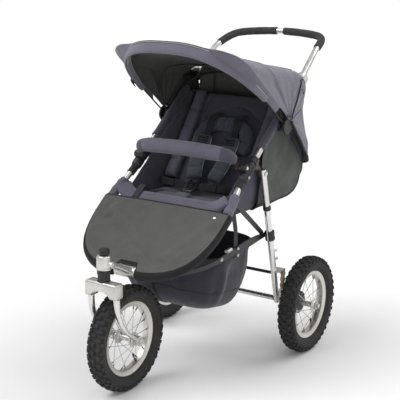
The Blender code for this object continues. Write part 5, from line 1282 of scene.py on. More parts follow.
def makeHem(edge):
    # joins the hood's front edge to the front bow, and rides on the bow
    bow = evenly(bowLine("front", 0.10, 120), 240)
    turns = [np.arctan2(np.linalg.norm((line - hoodPivot)[:, 1:], axis=1), line[:, 0]) for line in (edge, bow)]
    onBow = np.stack([np.interp(turns[1], turns[0], edge[:, k]) for k in range(3)], axis=1)
    share = np.linspace(0.0, 1.0, 8)[None, :, None]
    slack = 0.0025 * np.sin(np.pi * share) * np.sin(np.arange(240) * 0.55)[:, None, None]
    hem = gridPiece("hood_front_hem", onBow[:, None] * (1 - share) + bow[:, None] * share + slack * (0.3 * up),
                    [hoodCloth, liningCloth])
    settle(solidCloth(hem, 0.0014), "hood_front", "navy_fabric")


def makeHood():
    g = hoodSet
    inner, outer = g["slot"]
    flatGrid, angle = hoodGrid()
    grid = hoodCreases(flatGrid, gridNormals(flatGrid, hoodFan), angle)
    normals = gridNormals(grid, hoodFan)
    cloth = gridPiece("hood_cloth", grid, [hoodCloth, liningCloth])
    slotCloth(cloth)
    rearCloth = cutBehind(cloth, "hood_rear_cloth", False)
    for piece in (cloth, rearCloth):
        solidCloth(piece, g["thick"], 1, -1.0)

    # the rear bow's piping stops at the slots
    bow = gridLine(grid, row=rowAt(angle, g["rear"]), lift=0.0006, normals=normals)
    reached = int(np.argmax(bow[:, 0] < outer + 0.001))
    parts = (bow[:reached], bow[abs(bow[:, 0]) < inner - 0.001], bow[len(bow) - reached:])
    trims = [piping("piping", part, 0.0026, blackTrim, across + 0.01 * up) for part in parts]
    for row, radius in ((len(grid) - 1.0, 0.0036), (rowAt(angle, 20.0), 0.0011)):
        line = gridLine(grid, row=row, lift=0.0006, normals=normals)
        trims.append(piping("piping", line, radius, blackTrim, np.array([0.2, 1.0, 0.3])))
    for value in (g["rear"] + 1.6, g["mid"] + 1.3, g["mid"] - 1.3):
        line = gridLine(grid, row=rowAt(angle, value), lift=0.0002, normals=normals)
        trims.append(stitches(line[14:-14], up, threadDark))
    sideLine = gridLine(grid, column=2.0, lift=0.0002, normals=normals)
    # rows that the slots cross, by their turn about the handle joint
    joint, spots = onTube(frameSet["knuckleY"]), grid[:, 45]
    turn = np.degrees(np.arctan2(spots[:, 2] - joint[2], spots[:, 1] - joint[1]))
    rows = np.flatnonzero((turn > -50) & (turn < 98) & (spots[:, 1] > -0.03))
    for side in (1, -1):
        trims.append(piping("hem", onSide(sideLine, side), 0.0022, blackTrim, across))
        trims += [piping("slot", onSide(atX(grid, rows, x), side), 0.0018, blackTrim, across) for x in g["slot"]]
    cuffs = joinPieces("hood_cuffs", [make(side) for side in (1, -1) for make in (hoodCuff, hoodGusset)])
    settle(solidCloth(cuffs, 0.0016), "frame", "dark_fabric")
    makeHem(evenly(grid[0], 240))

    flap = gridLine(grid, row=rowAt(angle, 112.0), lift=0.0060, normals=normals)
    flap = flap[abs(flap[:, 0]) < 0.075]
    width = 0.0046 + 0.0009 * np.sin(np.linspace(0, 9, len(flap)))
    trims.append(tubePiece("flap_roll", flap, width, blackTrim, up, 20, flat=0.8, smoothAngle=60))
    trim = joinPieces("hood_trim", trims)
    rearTrim = cutBehind(trim, "hood_rear_trim", True)
    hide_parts("hood_canopy")
    for piece in (cloth, trim):
        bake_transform(piece)
    for piece in (rearCloth, rearTrim):
        followBack(piece)


def makeBows():
    for bow, body in (("front", "hood_front"), ("mid", "hood_mid"), ("rear", "frame")):
        node = "hood_" + bow + "_bow"
        settle(softened(node, blackPlastic, 0.0005), body, "black_plastic", node)
        if bow == "front":
            continue
        line = bowLine(bow, 0.16, 90)
        if bow == "rear":
            line = line[abs(line[:, 0]) < 0.168]
        k = np.arange(150)
        wave = 1 + 0.05 * np.sin(k * 0.9) + 0.04 * np.sin(k * 0.37)
        sleeve = tubePiece(node + "_sleeve", evenly(line, 150), 0.0040 * wave, blackTrim, up + 0.01 * across, 16, 1.15,
                           smoothAngle=60)
        settle(sleeve, body, "dark_fabric")


def makeBrim():
    g = hoodSet
    thick = g["brimThick"]
    line = evenly(bowLine("front", 0.24, 120, 0.0025), 260)
    normal = inYZ(g["front"] + 90)
    t = fromEnds(np.arange(260)) / 259.0
    width = g["brimHalf"] * (0.45 + 0.55 * np.minimum(t / 0.30, 1.0))
    s = lengthAlong(line)
    roundOff = roundedEnds(s, 0.014, 0.02)
    ring = roundProfile(44, 1.0, 2.5)
    gather = 0.5 + 0.5 * np.sin(s * (2 * np.pi / 0.021) + 0.7 * np.sin(s * 31.0))
    pucker = 1.0 - 0.10 * abs(ring[:, 0])[None] ** 3 * gather[:, None]
    crown = 1.0 - 0.14 * (1 - abs(ring[:, 0])) ** 2 * 0.5
    high = ring[:, 1] * crown * thick * roundOff[:, None] * pucker
    profile = np.stack([ring[:, 0] * (width * roundOff)[:, None], high], axis=2)
    pad = barPiece("hood_brim_pad", line, profile, normal, hoodCloth, 70)
    settlePad(pad, "hood_front", "navy_fabric", 0.7, "hood_brim")

    tangent, side, height = framesOn(line, normal)
    height = height * np.sign(np.sum(height * (line - hoodPivot), axis=1))[:, None]
    keep = fromEnds(s) > 0.006
    # share of the width towards the front, lift, radius and finish of each piping
    listed = ((-0.985, 0.0052, 0.0030, blackTrim), (-0.84, 0.0076, 0.0012, greyPiping),
              (0.99, -0.0025, 0.0011, blackTrim), (-0.55, -thick * 0.90, 0.0009, greyPiping))
    trims = [piping("piping", (line + side * (width * share)[:, None] + height * lift)[keep], radius, finish, normal)
             for share, lift, radius, finish in listed]
    at = int(len(line) * 0.925)
    tab = [line[at] + side[at] * out + height[at] * lift
           for out, lift in ((-0.014, 0.006), (0.0, 0.0112), (0.012, 0.0085), (0.017, 0.001))]
    trims.append(strapPiece("tab", tab, tangent[at], 0.030, 0.0030, blackTrim))
    settleJoined("hood_brim_piping", trims, "hood_front", "dark_fabric")


makeHood()
makeBows()
makeBrim()
print("stage: hood")


def spotsOf(mesh):
    spots = np.empty(len(mesh.vertices) * 3)
    mesh.vertices.foreach_get("co", spots)
    return spots.reshape(-1, 3)


def moveSpots(mesh, spots):
    mesh.vertices.foreach_set("co", spots.ravel())
    mesh.update()


def applyModifiers(piece):
    baked = bpy.data.meshes.new_from_object(piece.evaluated_get(bpy.context.evaluated_depsgraph_get()))
    old = piece.data
    finishes = list(old.materials)
    piece.modifiers.clear()
    piece.data = baked
    if len(baked.materials) == 0:
        for one in finishes:
            baked.materials.append(one)
    bpy.data.meshes.remove(old)


stuffingSet = {"voxel": 0.005, "cap": 0.004, "pressure": 4.0, "mass": 0.25, "stiffness": 18, "bending": 1.2,
               "frames": 20}


def swell(piece):
    # remeshed copy, blown up a little, then its movement is held under the cap
    g = stuffingSet
    remesh = piece.modifiers.new("even faces", "REMESH")
    remesh.mode = "VOXEL"
    remesh.voxel_size = g["voxel"]
    applyModifiers(piece)
    start = spotsOf(piece.data)
    cloth = piece.modifiers.new("stuffing", "CLOTH")
    cloth.settings.use_pressure = True
    cloth.settings.uniform_pressure_force = g["pressure"]
    cloth.settings.quality = 4
    cloth.settings.mass = g["mass"]
    cloth.settings.tension_stiffness = g["stiffness"]
    cloth.settings.compression_stiffness = g["stiffness"]
    cloth.settings.bending_stiffness = g["bending"]
    cloth.settings.effector_weights.gravity = 0.0
    cloth.point_cache.frame_start = 1
    cloth.point_cache.frame_end = g["frames"]
    for number in range(1, g["frames"] + 1):
        scene.frame_set(number)
    applyModifiers(piece)
    scene.frame_set(1)
    step = spotsOf(piece.data) - start
    length = np.linalg.norm(step, axis=1, keepdims=True)
    moveSpots(piece.data, start + step * np.minimum(1.0, g["cap"] / np.maximum(length, 1e-9)))
    return piece


def pressSeams(piece, seams, width, depth, outward):
    # pushes the skin in along drawn seams, on the side that faces outwards
    spots = spotsOf(piece.data) - shift
    for path in seams:
        gap, over = np.full(len(spots), 9.0), np.zeros(len(spots))
        for point in evenly(path, max(int(lengthAlong(path)[-1] / 0.004), 4)):
            apart = spots - point
            high = apart @ outward
            flat = np.linalg.norm(apart - high[:, None] * outward, axis=1)
            closer = flat < gap
            gap, over = np.where(closer, flat, gap), np.where(closer, high, over)
        facing = np.clip((over + 0.010) / 0.010, 0.0, 1.0)
        spots = spots - outward * (depth * np.exp(-(gap / width) ** 2) * facing)[:, None]
    moveSpots(piece.data, spots + shift)


def smoothPad(piece, u, v):
    # rounder skin, with a flat cloth map in metres along two directions
    mesh = piece.data
    corners = np.empty(len(mesh.loops), int)
    mesh.loops.foreach_get("vertex_index", corners)
    spots = spotsOf(mesh)
    flat = np.stack([spots @ u, spots @ v], axis=1)[corners]
    layer = mesh.uv_layers.get("cloth") or mesh.uv_layers.new(name="cloth")
    layer.data.foreach_set("uv", flat.astype(np.float32).ravel())
    skin = piece.modifiers.new("smooth", "SUBSURF")
    skin.levels = skin.render_levels = 1
    mesh.polygons.foreach_set("use_smooth", np.ones(len(mesh.polygons), bool))
    return piece


# Seat: side walls, front band and sleeves, cushion, backrest and its wings

seatSet = {"half": 0.1745, "frontY": -0.372, "base": 0.4955, "backAngle": 57.0, "backLength": 0.345}
backDir = inYZ(seatSet["backAngle"])
backOut = np.array([0.0, -backDir[2], backDir[1]])
backFoot = np.array([0.0, -0.175, 0.523])


def onBack(s, lift, x=0.0):
    # place s up the backrest, lifted off its middle, x to the side; the back is slightly hollow
    s, lift, x = np.broadcast_arrays(np.asarray(s, float), lift, x)
    hollow = -0.006 * np.sin(np.pi * np.clip(s / seatSet["backLength"], 0, 1))
    return backFoot + s[..., None] * backDir + (lift + hollow)[..., None] * backOut + x[..., None] * across


def stuffed(name, path, half, thick, finish, power, around, ends, count, seams=()):
    # pad along a path: rounded ends, full middle, drawn in at its seams
    line = smoothLine(path, count)
    s = lengthAlong(line)
    edge = roundedEnds(s, ends, 0.0)
    draw = sum((bump(s, at, 0.006) for at in seams), np.zeros(count))
    width = half * (0.90 + 0.10 * edge) * (1 - 0.015 * draw)
    height = thick * (0.06 + 0.94 * edge) * (1 - 0.38 * draw)
    ring = roundProfile(around, 1.0, power)
    profile = np.stack([ring[:, 0] * width[:, None], ring[:, 1] * height[:, None]], axis=2)
    return barPiece(name, line, profile, across, finish)


def makeSeatWalls():
    half, front = seatSet["half"], seatSet["frontY"]
    y = np.linspace(front + 0.004, -0.008, 90)
    top = tubeZ(y) - 0.0100
    low = np.interp(y, [front, -0.205, -0.155, -0.008], [0.4970, 0.4970, 0.5300, 0.8050])
    v = np.linspace(0.0, 1.0, 44)
    tubeY = np.linspace(-0.196, -0.022, 80)
    pulls = [((half, -0.30, 0.575), (half, -0.12, 0.700), 0.010, -0.0016),
             ((half, -0.34, 0.520), (half, -0.22, 0.610), 0.012, -0.0018)]
    for name, side in sides:
        z = low[:, None] + (top - low)[:, None] * v
        grid = np.stack([side * (half + 0 * z), y[:, None] + 0 * z, z], axis=2)
        puff = ripples(grid, 20 + side, 0.075, 0.0009) + 0.0016 * np.sin(np.pi * v)[None]
        grid[..., 0] += side * creased(puff, grid, pulls, (side,))
        wall = solidCloth(gridPiece("seat_wall_" + name, grid, navyCloth), 0.0030)
        seam = gridLine(grid, column=36.0) + side * 0.0024 * across
        trims = [piping("piping", line, radius, blackTrim, across)
                 for line, radius in ((seam, 0.0016), (grid[-1], 0.0024), (grid[0], 0.0024))]
        trims.append(stitches(seam - 0.0062 * up + side * 0.0002 * across, side * across, threadGrey))
        trim = joinPieces("seat_wall_trim_" + name, trims)
        settle(wall, "frame", "navy_fabric", *(["seat_shell"] if side == 1 else []))
        settle(trim, "frame", "webbing")
        down = onSide([(0.1790, -0.317, 0.5020), (0.1830, -0.317, 0.4800), (0.1885, -0.317, 0.4450),
                       (0.1890, -0.317, 0.4050), (0.1890, -0.317, 0.3680)], side)
        strap = strapPiece("rail_strap_" + name, down, along * 0.02 + backwards, 0.0220, 0.0022, webbing)
        settle(strap, "frame", "webbing")
        gridArea(grid)

        # the cover's sleeve round the side tube, gathered a little at both ends
        line = np.column_stack([side * (tubeX + 0 * tubeY), tubeY, tubeZ(tubeY)])
        s = lengthAlong(line)
        radius = 0.0125 + 0.0005 * np.sin(s / 0.0050) * np.sin(s / 0.0131) + 0.0012 * np.exp(-fromEnds(s) / 0.004)
        cover = tubePiece("tube_cover_" + name, line, radius, navyCloth, across, 32, smoothAngle=70)
        settle(cover, "frame", "navy_fabric")
        # wall to tube: the hem that the sleeve hangs from
        drop = np.linspace(0.0, 1.0, 6)[None, :, None]
        inner = np.column_stack([side * (half + 0 * tubeY), tubeY, tubeZ(tubeY) - 0.0090])
        outer = line + side * 0.0040 * across - 0.0112 * square
        strip = gridPiece("hem_" + name, inner[:, None] * (1 - drop) + outer[:, None] * drop, navyCloth)
        settle(solidCloth(strip, 0.0024), "frame", "navy_fabric")


def loopPart(side, rear, front):
    # the loop's points on one side between two places
    path = loopPath(400)
    return path[(path[:, 0] * side > 0.1) & (path[:, 1] < rear) & (path[:, 1] > front)]


def makeFrontBand():
    # violet padded band across the front of the seat, its ends wrapped round the loop's sides
    half, front = seatSet["half"], seatSet["frontY"]
    x = np.linspace(-0.186, 0.186, 120)
    rise = 0.020 * np.clip((abs(x) - 0.130) / 0.056, 0, 1) ** 2
    line = np.column_stack([x, -0.3860 + 0 * x, 0.5215 + rise]) + rise[:, None] * along * 0.8
    ring = roundProfile(40, 1.0, 2.8)
    wave = 1 + 0.03 * np.sin(x * 95.0) + 0.025 * np.sin(x * 41.0 + 1.0)
    profile = np.stack([ring[:, 0] * (0.0250 + 0 * x)[:, None], ring[:, 1] * (0.0105 * wave)[:, None]], axis=2)
    settlePad(barPiece("front_band", line, profile, along, violetCloth), "frame", "navy_fabric", 0.7)
    for name, side in sides:
        path = loopPart(side, -0.346, -0.412)
        s = lengthAlong(path)
        radius = 0.0118 + 0.0030 * np.sqrt(np.minimum(fromEnds(s) / 0.012, 1.0)) + 0.0006 * np.sin(s / 0.0046)
        sleeve = tubePiece("band_sleeve_" + name, path, radius, violetCloth, square, 36, smoothAngle=75)
        settlePad(sleeve, "frame", "navy_fabric", 0.7)
        path = evenly(loopPart(side, -0.300, -0.326), 20)
        radius = 0.0125 + 0.0006 * np.sin(np.arange(20) * 1.3)
        wrap = tubePiece("socket_wrap_" + name, path, radius, blackTrim, square, 32, smoothAngle=60)
        settle(wrap, "frame", "dark_fabric")
    trims = [piping("band_seam", (line + 0.0245 * along + 0.0030 * square)[4:-4], 0.0014, blackTrim, square),
             piping("band_edge", (line - 0.0245 * along + 0.0030 * square)[4:-4], 0.0014, blackTrim, square),
             stitches((line + 0.0100 * along + 0.0101 * square)[10:-10], square, threadDark)]
    settleJoined("front_band_trim", trims, "frame", "dark_fabric")
    # sling base under the cushion
    yy = np.linspace(front - 0.010, -0.200, 30)
    xx = np.linspace(-half, half, 40)
    sag = 0.4950 - 0.004 * np.outer(1 - 0 * yy, np.cos(xx * 9.0))
    grid = np.stack(np.meshgrid(xx, yy, indexing="xy") + [sag], axis=2)
    base = solidCloth(gridPiece("seat_base", grid, navyCloth), 0.0024)
    settle(base, "frame", "navy_fabric")
    gridArea(grid)


def makeSeatPads():
    z = 0.5120
    line = [(0.0, -0.3480, z), (0.0, -0.270, z - 0.001), (0.0, -0.1900, z)]
    pad = swell(stuffed("seat_pad", line, 0.1640, 0.0125, navyCloth, 3.6, 80, 0.020, 70))
    pressSeams(pad, [np.array([(-0.150, -0.270, z + 0.012), (0.150, -0.270, z + 0.012)])], 0.0055, 0.0050, up)
    settlePad(smoothPad(pad, across, backwards), "frame", "dark_fabric", 0.6, "seat_cushion")

    width = np.linspace(0.1450, 0.1560, 90)
    path = onBack(np.linspace(-0.010, 0.345, 8), -0.001)
    back = swell(stuffed("back_pad", path, width, 0.0122, navyCloth, 3.2, 84, 0.016, 90))
    wide, narrow = np.linspace(-0.118, 0.118, 24), np.linspace(-0.100, 0.100, 30)
    upper, lower = onBack(0.215, 0.012, wide), onBack(0.105, 0.012, wide)
    arch = onBack(0.255 + 0.045 * (1 - (narrow / 0.100) ** 2), 0.012, narrow)
    edges = [onBack(np.linspace(0.010, 0.335, 40), 0.012, side * 0.119) for side in (1, -1)]
    pressSeams(back, [upper, arch, lower] + edges, 0.0050, 0.0050, backOut)
    settlePad(smoothPad(back, across, backDir), "backrest", "dark_fabric", 0.6, "backrest_pad")
    trims = [stitches(path[2:-2] + backOut * 0.0005, backOut, threadGrey) for path in [arch, upper] + edges]
    settleJoined("back_stitching", trims, "backrest", "webbing")

    # wings: padded side bolsters, thicker low down
    at, t = np.linspace(0.020, 0.338, 9), np.linspace(0, 1, 110)
    lift = np.interp(at, [0.02, 0.12, 0.338], [0.0290, 0.0270, 0.0200])
    wide = np.interp(t, [0, 0.5, 1], [0.0215, 0.0205, 0.0165])
    deep = np.interp(t, [0, 0.5, 1], [0.0175, 0.0160, 0.0110])
    for name, side in sides:
        path = onBack(at, lift, side * np.interp(at, [0.02, 0.338], [0.1420, 0.1430]))
        wing = stuffed("wing_" + name, path, wide, deep, violetCloth, 2.4, 44, 0.020, 110, [0.060, 0.122, 0.184, 0.246])
        settlePad(wing, "backrest", "dark_fabric", 0.75)


def makePillow():
    half = [onBack(s, 0.0300, x) for x, s in (
        (0.0800, 0.128), (0.0860, 0.165), (0.0760, 0.200), (0.0450, 0.2190), (0.0, 0.2240))]
    line = smoothLine(mirrored(half), 150)
    s = lengthAlong(line)
    edge = roundedEnds(s, 0.020, 0.01)
    draw = sum(bump(s, at, 0.0045) for at in np.linspace(0.035, s[-1] - 0.035, 9))
    ring = roundProfile(48, 1.0, 2.3)
    width = 0.0230 * (0.80 + 0.20 * edge) * (1 - 0.05 * draw)
    height = 0.0155 * edge * (1 - 0.24 * draw)
    profile = np.stack([ring[:, 0] * height[:, None], ring[:, 1] * width[:, None]], axis=2)
    arch = barPiece("pillow_arch", line, profile, backOut, slateCloth)
    settlePad(arch, "backrest", "slate_fabric", 0.75, "neck_pillow")

    # the thin padded panel inside the arch
    x, t = np.linspace(-0.066, 0.066, 40), np.linspace(0.0, 1.0, 40)[:, None]
    top = 0.205 - 0.030 * (x / 0.066) ** 2
    lift = 0.0185 + 0.0040 * np.sin(np.pi * t) * np.cos(x / 0.066 * np.pi / 2)[None]
    inner = gridPiece("pillow_centre", onBack(0.128 + (top - 0.128)[None] * t, lift, x[None] + 0 * t), navyCloth)
    settlePad(solidCloth(inner, 0.0050), "backrest", "dark_fabric", 0.5)


def makeHarness():
    trims = []
    for name, side in sides:
        path = [onBack(s, lift, side * x) for s, lift, x in (
            (0.268, 0.0150, 0.046), (0.235, 0.0480, 0.048), (0.175, 0.0470, 0.050), (0.120, 0.0460, 0.050),
            (0.060, 0.0480, 0.046), (0.012, 0.0480, 0.034))]
        path.append(np.array([side * 0.018, -0.2700, 0.5560]))
        trims.append(strapPiece("strap", path, across, 0.0240, 0.0020, webbing))
        pad = np.array([onBack(s, lift, side * x) for s, lift, x in (
            (0.170, 0.0490, 0.051), (0.120, 0.0500, 0.051), (0.065, 0.0515, 0.047), (0.018, 0.0510, 0.036))])
        puff = stuffed("harness_pad_" + name, pad, 0.0260, 0.0120, slateCloth, 2.5, 48, 0.016, 100,
                       [0.040, 0.080, 0.118])
        settlePad(puff, "backrest", "slate_fabric", 0.75)
        for edge in (-1, 1):
            rim = smoothLine(pad + edge * 0.0255 * across + backOut * 0.0015, 60)[4:-4]
            trims.append(piping("pad_piping", rim, 0.0013, greyPiping, across))
        clip = onBack(0.150, 0.0640, side * 0.050)
        bars = [(backDir * 0.0085 * k, 0.0165 * across, 0.0036) for k in (-1, 0, 1)]
        bars += [(0.0155 * edge * across, backDir * 0.0105, 0.0034) for edge in (-1, 1)]
        for step, half, radius in bars:
            ends = [clip + step - half, clip + step + half]
            trims.append(tubePiece("adjuster", ends, radius, buckleGloss, backOut, 14))
        lap = onSide([(0.168, -0.205, 0.545), (0.130, -0.232, 0.550), (0.075, -0.2560, 0.5520),
                      (0.026, -0.2740, 0.5540)], side)
        trims.append(strapPiece("lap_strap", lap, up + 0.3 * backDir, 0.0230, 0.0020, webbing))
        ends = [lap[2] - 0.013 * up, lap[2] + 0.013 * up]
        trims.append(tubePiece("lap_slide", ends, 0.0045, buckleGloss, across, 16, 0.5))
    settleJoined("harness_straps", trims, "backrest", "webbing", "shoulder_harness")
    tail = [(-0.112, -0.2730, 0.5290), (-0.116, -0.300, 0.5300), (-0.118, -0.338, 0.5370), (-0.119, -0.3620, 0.5560),
            (-0.120, -0.3860, 0.5400), (-0.121, -0.4030, 0.5250)]
    settle(strapPiece("lap_tail", tail, across, 0.0230, 0.0022, webbing), "frame", "webbing")

    top = seatSet["base"] + 0.028 + 0.0045
    line = [(0.0, -0.3560, top - 0.004), (0.0, -0.335, top), (0.0, -0.315, top + 0.005), (0.0, -0.298, top + 0.016)]
    strap = strapPiece("crotch", line, across, 0.0300, 0.0030, webbing)
    line = [(0.0, -0.354, top), (0.0, -0.334, top + 0.003), (0.0, -0.312, top + 0.009)]
    cover = stuffed("crotch_pad", line, 0.0240, 0.0075, slateCloth, 2.8, 36, 0.012, 50)
    settlePad(cover, "frame", "slate_fabric", 0.7)
    centre = np.array([0.0, -0.282, 0.552])
    run, lift = inYZ(28), inYZ(28 + 90)
    s = np.linspace(-1, 1, 24)
    body = straight(centre - run * 0.0230, centre + run * 0.0230, 24)
    wide, deep = 0.0225 * (1 - abs(s) ** 5 * 0.35), 0.0062 * (1 - abs(s) ** 4 * 0.4)
    profile = roundProfile(32, 1.0, 4.0)[None] * np.stack([wide, deep], axis=1)[:, None]
    button = [(0.0, 0.0058), (0.0090, 0.0058), (0.0102, 0.0070), (0.0094, 0.0086), (0.0, 0.0090)]
    parts = [strap, barPiece("buckle", body, profile, across, buckleGloss, 50),
             turnedPiece("button", button, centre, lift, buckleGloss, 40)]
    for x in (-0.0125, 0.0125):
        ends = [centre + run * 0.012 + x * across, centre + run * 0.033 + 1.25 * x * across]
        parts.append(tubePiece("prong", ends, 0.0052, buckleGloss, lift, 18, 0.6))
    settleJoined("crotch_buckle", parts, "frame", "webbing", "crotch_strap")


makeSeatWalls()
makeFrontBand()
makeSeatPads()
makePillow()
makeHarness()
print("stage: seat")


# Bumper bar

bumperSet = {"core": 0.0090, "eyeX": 0.1735, "bare": 0.0200, "sleeve": 0.0222, "paintedShadeFrom": 0.1380}


def makeBumper():
    g = bumperSet
    half = [(0.1687, -0.2887, 0.6362), (0.1657, -0.3047, 0.6562), (0.1507, -0.322, 0.673), (0.0759, -0.331, 0.679),
            (0.0, -0.334, 0.681)]
    line = smoothLine(mirrored(half), 200)
    eye = bothEnds([(0.0045, -0.0045), (0.0118, -0.0045), (0.0128, -0.0036)])
    moulded = [tubePiece("core", line, g["core"], blackPlastic, up, 20)]
    moulded += [turnedPiece("eye", eye, bumperPivot + side * g["eyeX"] * across, across, blackPlastic, 40)
                for side in (1, -1)]
    settleJoined("bumper_core_moulded", moulded, "bumper", "black_plastic", "bumper_core")
    s = lengthAlong(line)
    path = evenly(line[fromEnds(s) > g["bare"]], 170)
    s = lengthAlong(path)
    close = fromEnds(s)
    thick = g["sleeve"] * (0.72 + 0.28 * np.minimum(close / 0.060, 1.0)) * (0.45 + 0.55 * roundedEnds(s, 0.017, 0.05))
    wrinkle = 0.0004 * np.sin(s / 0.0060 + np.sin(s / 0.021)) * np.exp(-close / 0.05) + 0.00025 * np.sin(s / 0.011)
    profile = roundProfile(44, 0.94, 2.2)[None] * (thick + wrinkle)[:, None, None]
    pad = barPiece("bumper_sleeve", path, profile, up, [violetCloth, navyCloth])
    # the sleeve's ends take the darker navy cloth: painted shade where they turn back from the light
    row = np.arange(len(pad.data.polygons)) // profile.shape[1]
    pad.data.polygons.foreach_set("material_index", (abs(path[row, 0]) > g["paintedShadeFrom"]).astype(int))
    settlePad(pad, "bumper", "navy_fabric", 0.85, "bumper_pad")
    tangent, side, height = framesOn(path, up)
    below = path - side * (thick * 0.98)[:, None] + height * 0.002
    trims = [piping("bumper_zip", below[6:-6], 0.0012, blackTrim, up + 0.1 * across)]
    turn = np.linspace(0, 2 * np.pi, 41)[:, None]
    for k in (3, len(path) - 4):
        hoop = path[k] + (side[k] * np.cos(turn) * thick[k] * 1.01 + height[k] * np.sin(turn) * thick[k] * 0.95)
        trims.append(tubePiece("bumper_end", hoop, 0.0010, blackTrim, tangent[k], 8, smoothAngle=60))
    settleJoined("bumper_trim", trims, "bumper", "dark_fabric")


makeBumper()
print("stage: bumper")


# Leg apron: ruled from its rear edge to the loop, and lapped round the tube

apronSet = {"rearY": -0.407, "headHalf": 0.0420, "drawnBack": 0.0135, "lipTurn": math.radians(125)}


def makeApron():
    g, loop = apronSet, frameSet
    lift, over, rearY, bendY = tubeRadius + 0.0016, tubeRadius + 0.0025, g["rearY"], loop["loopBend"]
    columns, rows, power = 110, 46, 2 / loop["loopPower"]
    outline = np.linspace(0, np.pi, columns)
    x = (loop["loopHalf"] + over) * np.sign(np.cos(outline)) * abs(np.cos(outline)) ** power
    y = bendY - (bendY - loop["loopFront"] + over) * np.sin(outline) ** power
    x, y = np.concatenate([x[:1], x, x[-1:]]), np.concatenate([[rearY], y, [rearY]])
    x, y = evenly(np.column_stack([x, y]), columns).T
    # drawn back round the steering head
    notch = np.clip((g["headHalf"] - abs(x)) / 0.012, 0, 1) * (y < -0.55)
    notch = notch * notch * (3 - 2 * notch)
    y = y + (g["drawnBack"] + over) * notch
    t = np.linspace(0, 1, rows)[:, None] ** 0.9
    flatX = 0.985 * x * (1 - t) + x * t
    flatY = rearY * (1 - t) + y * t
    plane = np.stack([flatX, flatY, tubeZ(flatY)], axis=2)
    reach = np.clip(1 - (abs(flatX) / 0.2) ** 2, 0, 1) * np.sin(np.pi * np.clip((rearY - flatY) / 0.19, 0, 1))
    high = lift + 0.0035 * (1 - (flatX / 0.22) ** 2) - 0.0085 * reach
    high = creased(high, plane, [((-0.160, -0.440, 0.487), (0.10, -0.560, 0.391), 0.013, 0.0075),
                                 ((-0.160, -0.468, 0.465), (0.08, -0.575, 0.379), 0.012, -0.0070),
                                 ((0.19, -0.440, 0.487), (0.07, -0.575, 0.379), 0.016, 0.0026)])
    high = high + ripples(plane, 31, 0.09, 0.0005)
    rim = np.minimum(t / 0.05, 1.0)
    flat = plane + square * (high + 0.001 * (1 - rim))[..., None]
    # the lip turns down round the tube, about its own edge direction
    around = np.gradient(np.stack([x, y, tubeZ(y)], axis=1), axis=0)
    around /= np.maximum(np.linalg.norm(around, axis=1, keepdims=True), 1e-9)
    outward = np.cross(around, square)
    centre = np.array([0.0, -0.48, 0.455])
    outward = outward * np.sign(np.sum(outward * (flat[-1] - centre), axis=1))[:, None]
    bend = np.linspace(0.10, 1.0, 9)[:, None] * g["lipTurn"] * (1 - 0.82 * notch)
    lips = flat[-1] + outward * (np.sin(bend) * lift * 0.55)[..., None]
    lips = lips - square * ((1 - np.cos(bend)) * lift)[..., None]
    grid = np.concatenate([flat, lips], axis=0)
    cloth = gridPiece("apron_cloth", grid, [apronCloth, blackCloth])
    row = np.repeat(np.arange(len(grid) - 1), columns - 1)
    cloth.data.polygons.foreach_set("material_index", (row > rows - 4).astype(int))
    solidCloth(cloth, 0.0016)
    seam = gridLine(grid, row=rows - 6.0, lift=0.0010, normals=gridNormals(grid, centre - 0.3 * square))
    snapHead = [(0.0, 0.0016), (0.0030, 0.0015), (0.0052, 0.0006), (0.0056, -0.0010), (0.0, -0.0016)]
    trim = joinPieces("apron_trim", [
        piping("apron_rear", grid[0], 0.0026, blackTrim, square),
        piping("apron_edge", grid[-1], 0.0024, blackTrim, square),
        stitches(seam[4:-4], square, threadGrey),
        turnedPiece("snap", snapHead, onTube(-0.424, 0.186) + square * 0.0150, square, boltMetal, 28)])
    settle(cloth, "frame", "apron_fabric", "apron")
    settle(trim, "frame", "webbing")
    area = gridArea(grid)
    print("apron area", round(area, 4))


makeApron()
print("stage: apron")


# Rear pouch and shopping basket

pouchSet = {"corner": 0.022, "half": 0.193, "rows": 90, "hang": 0.0028}


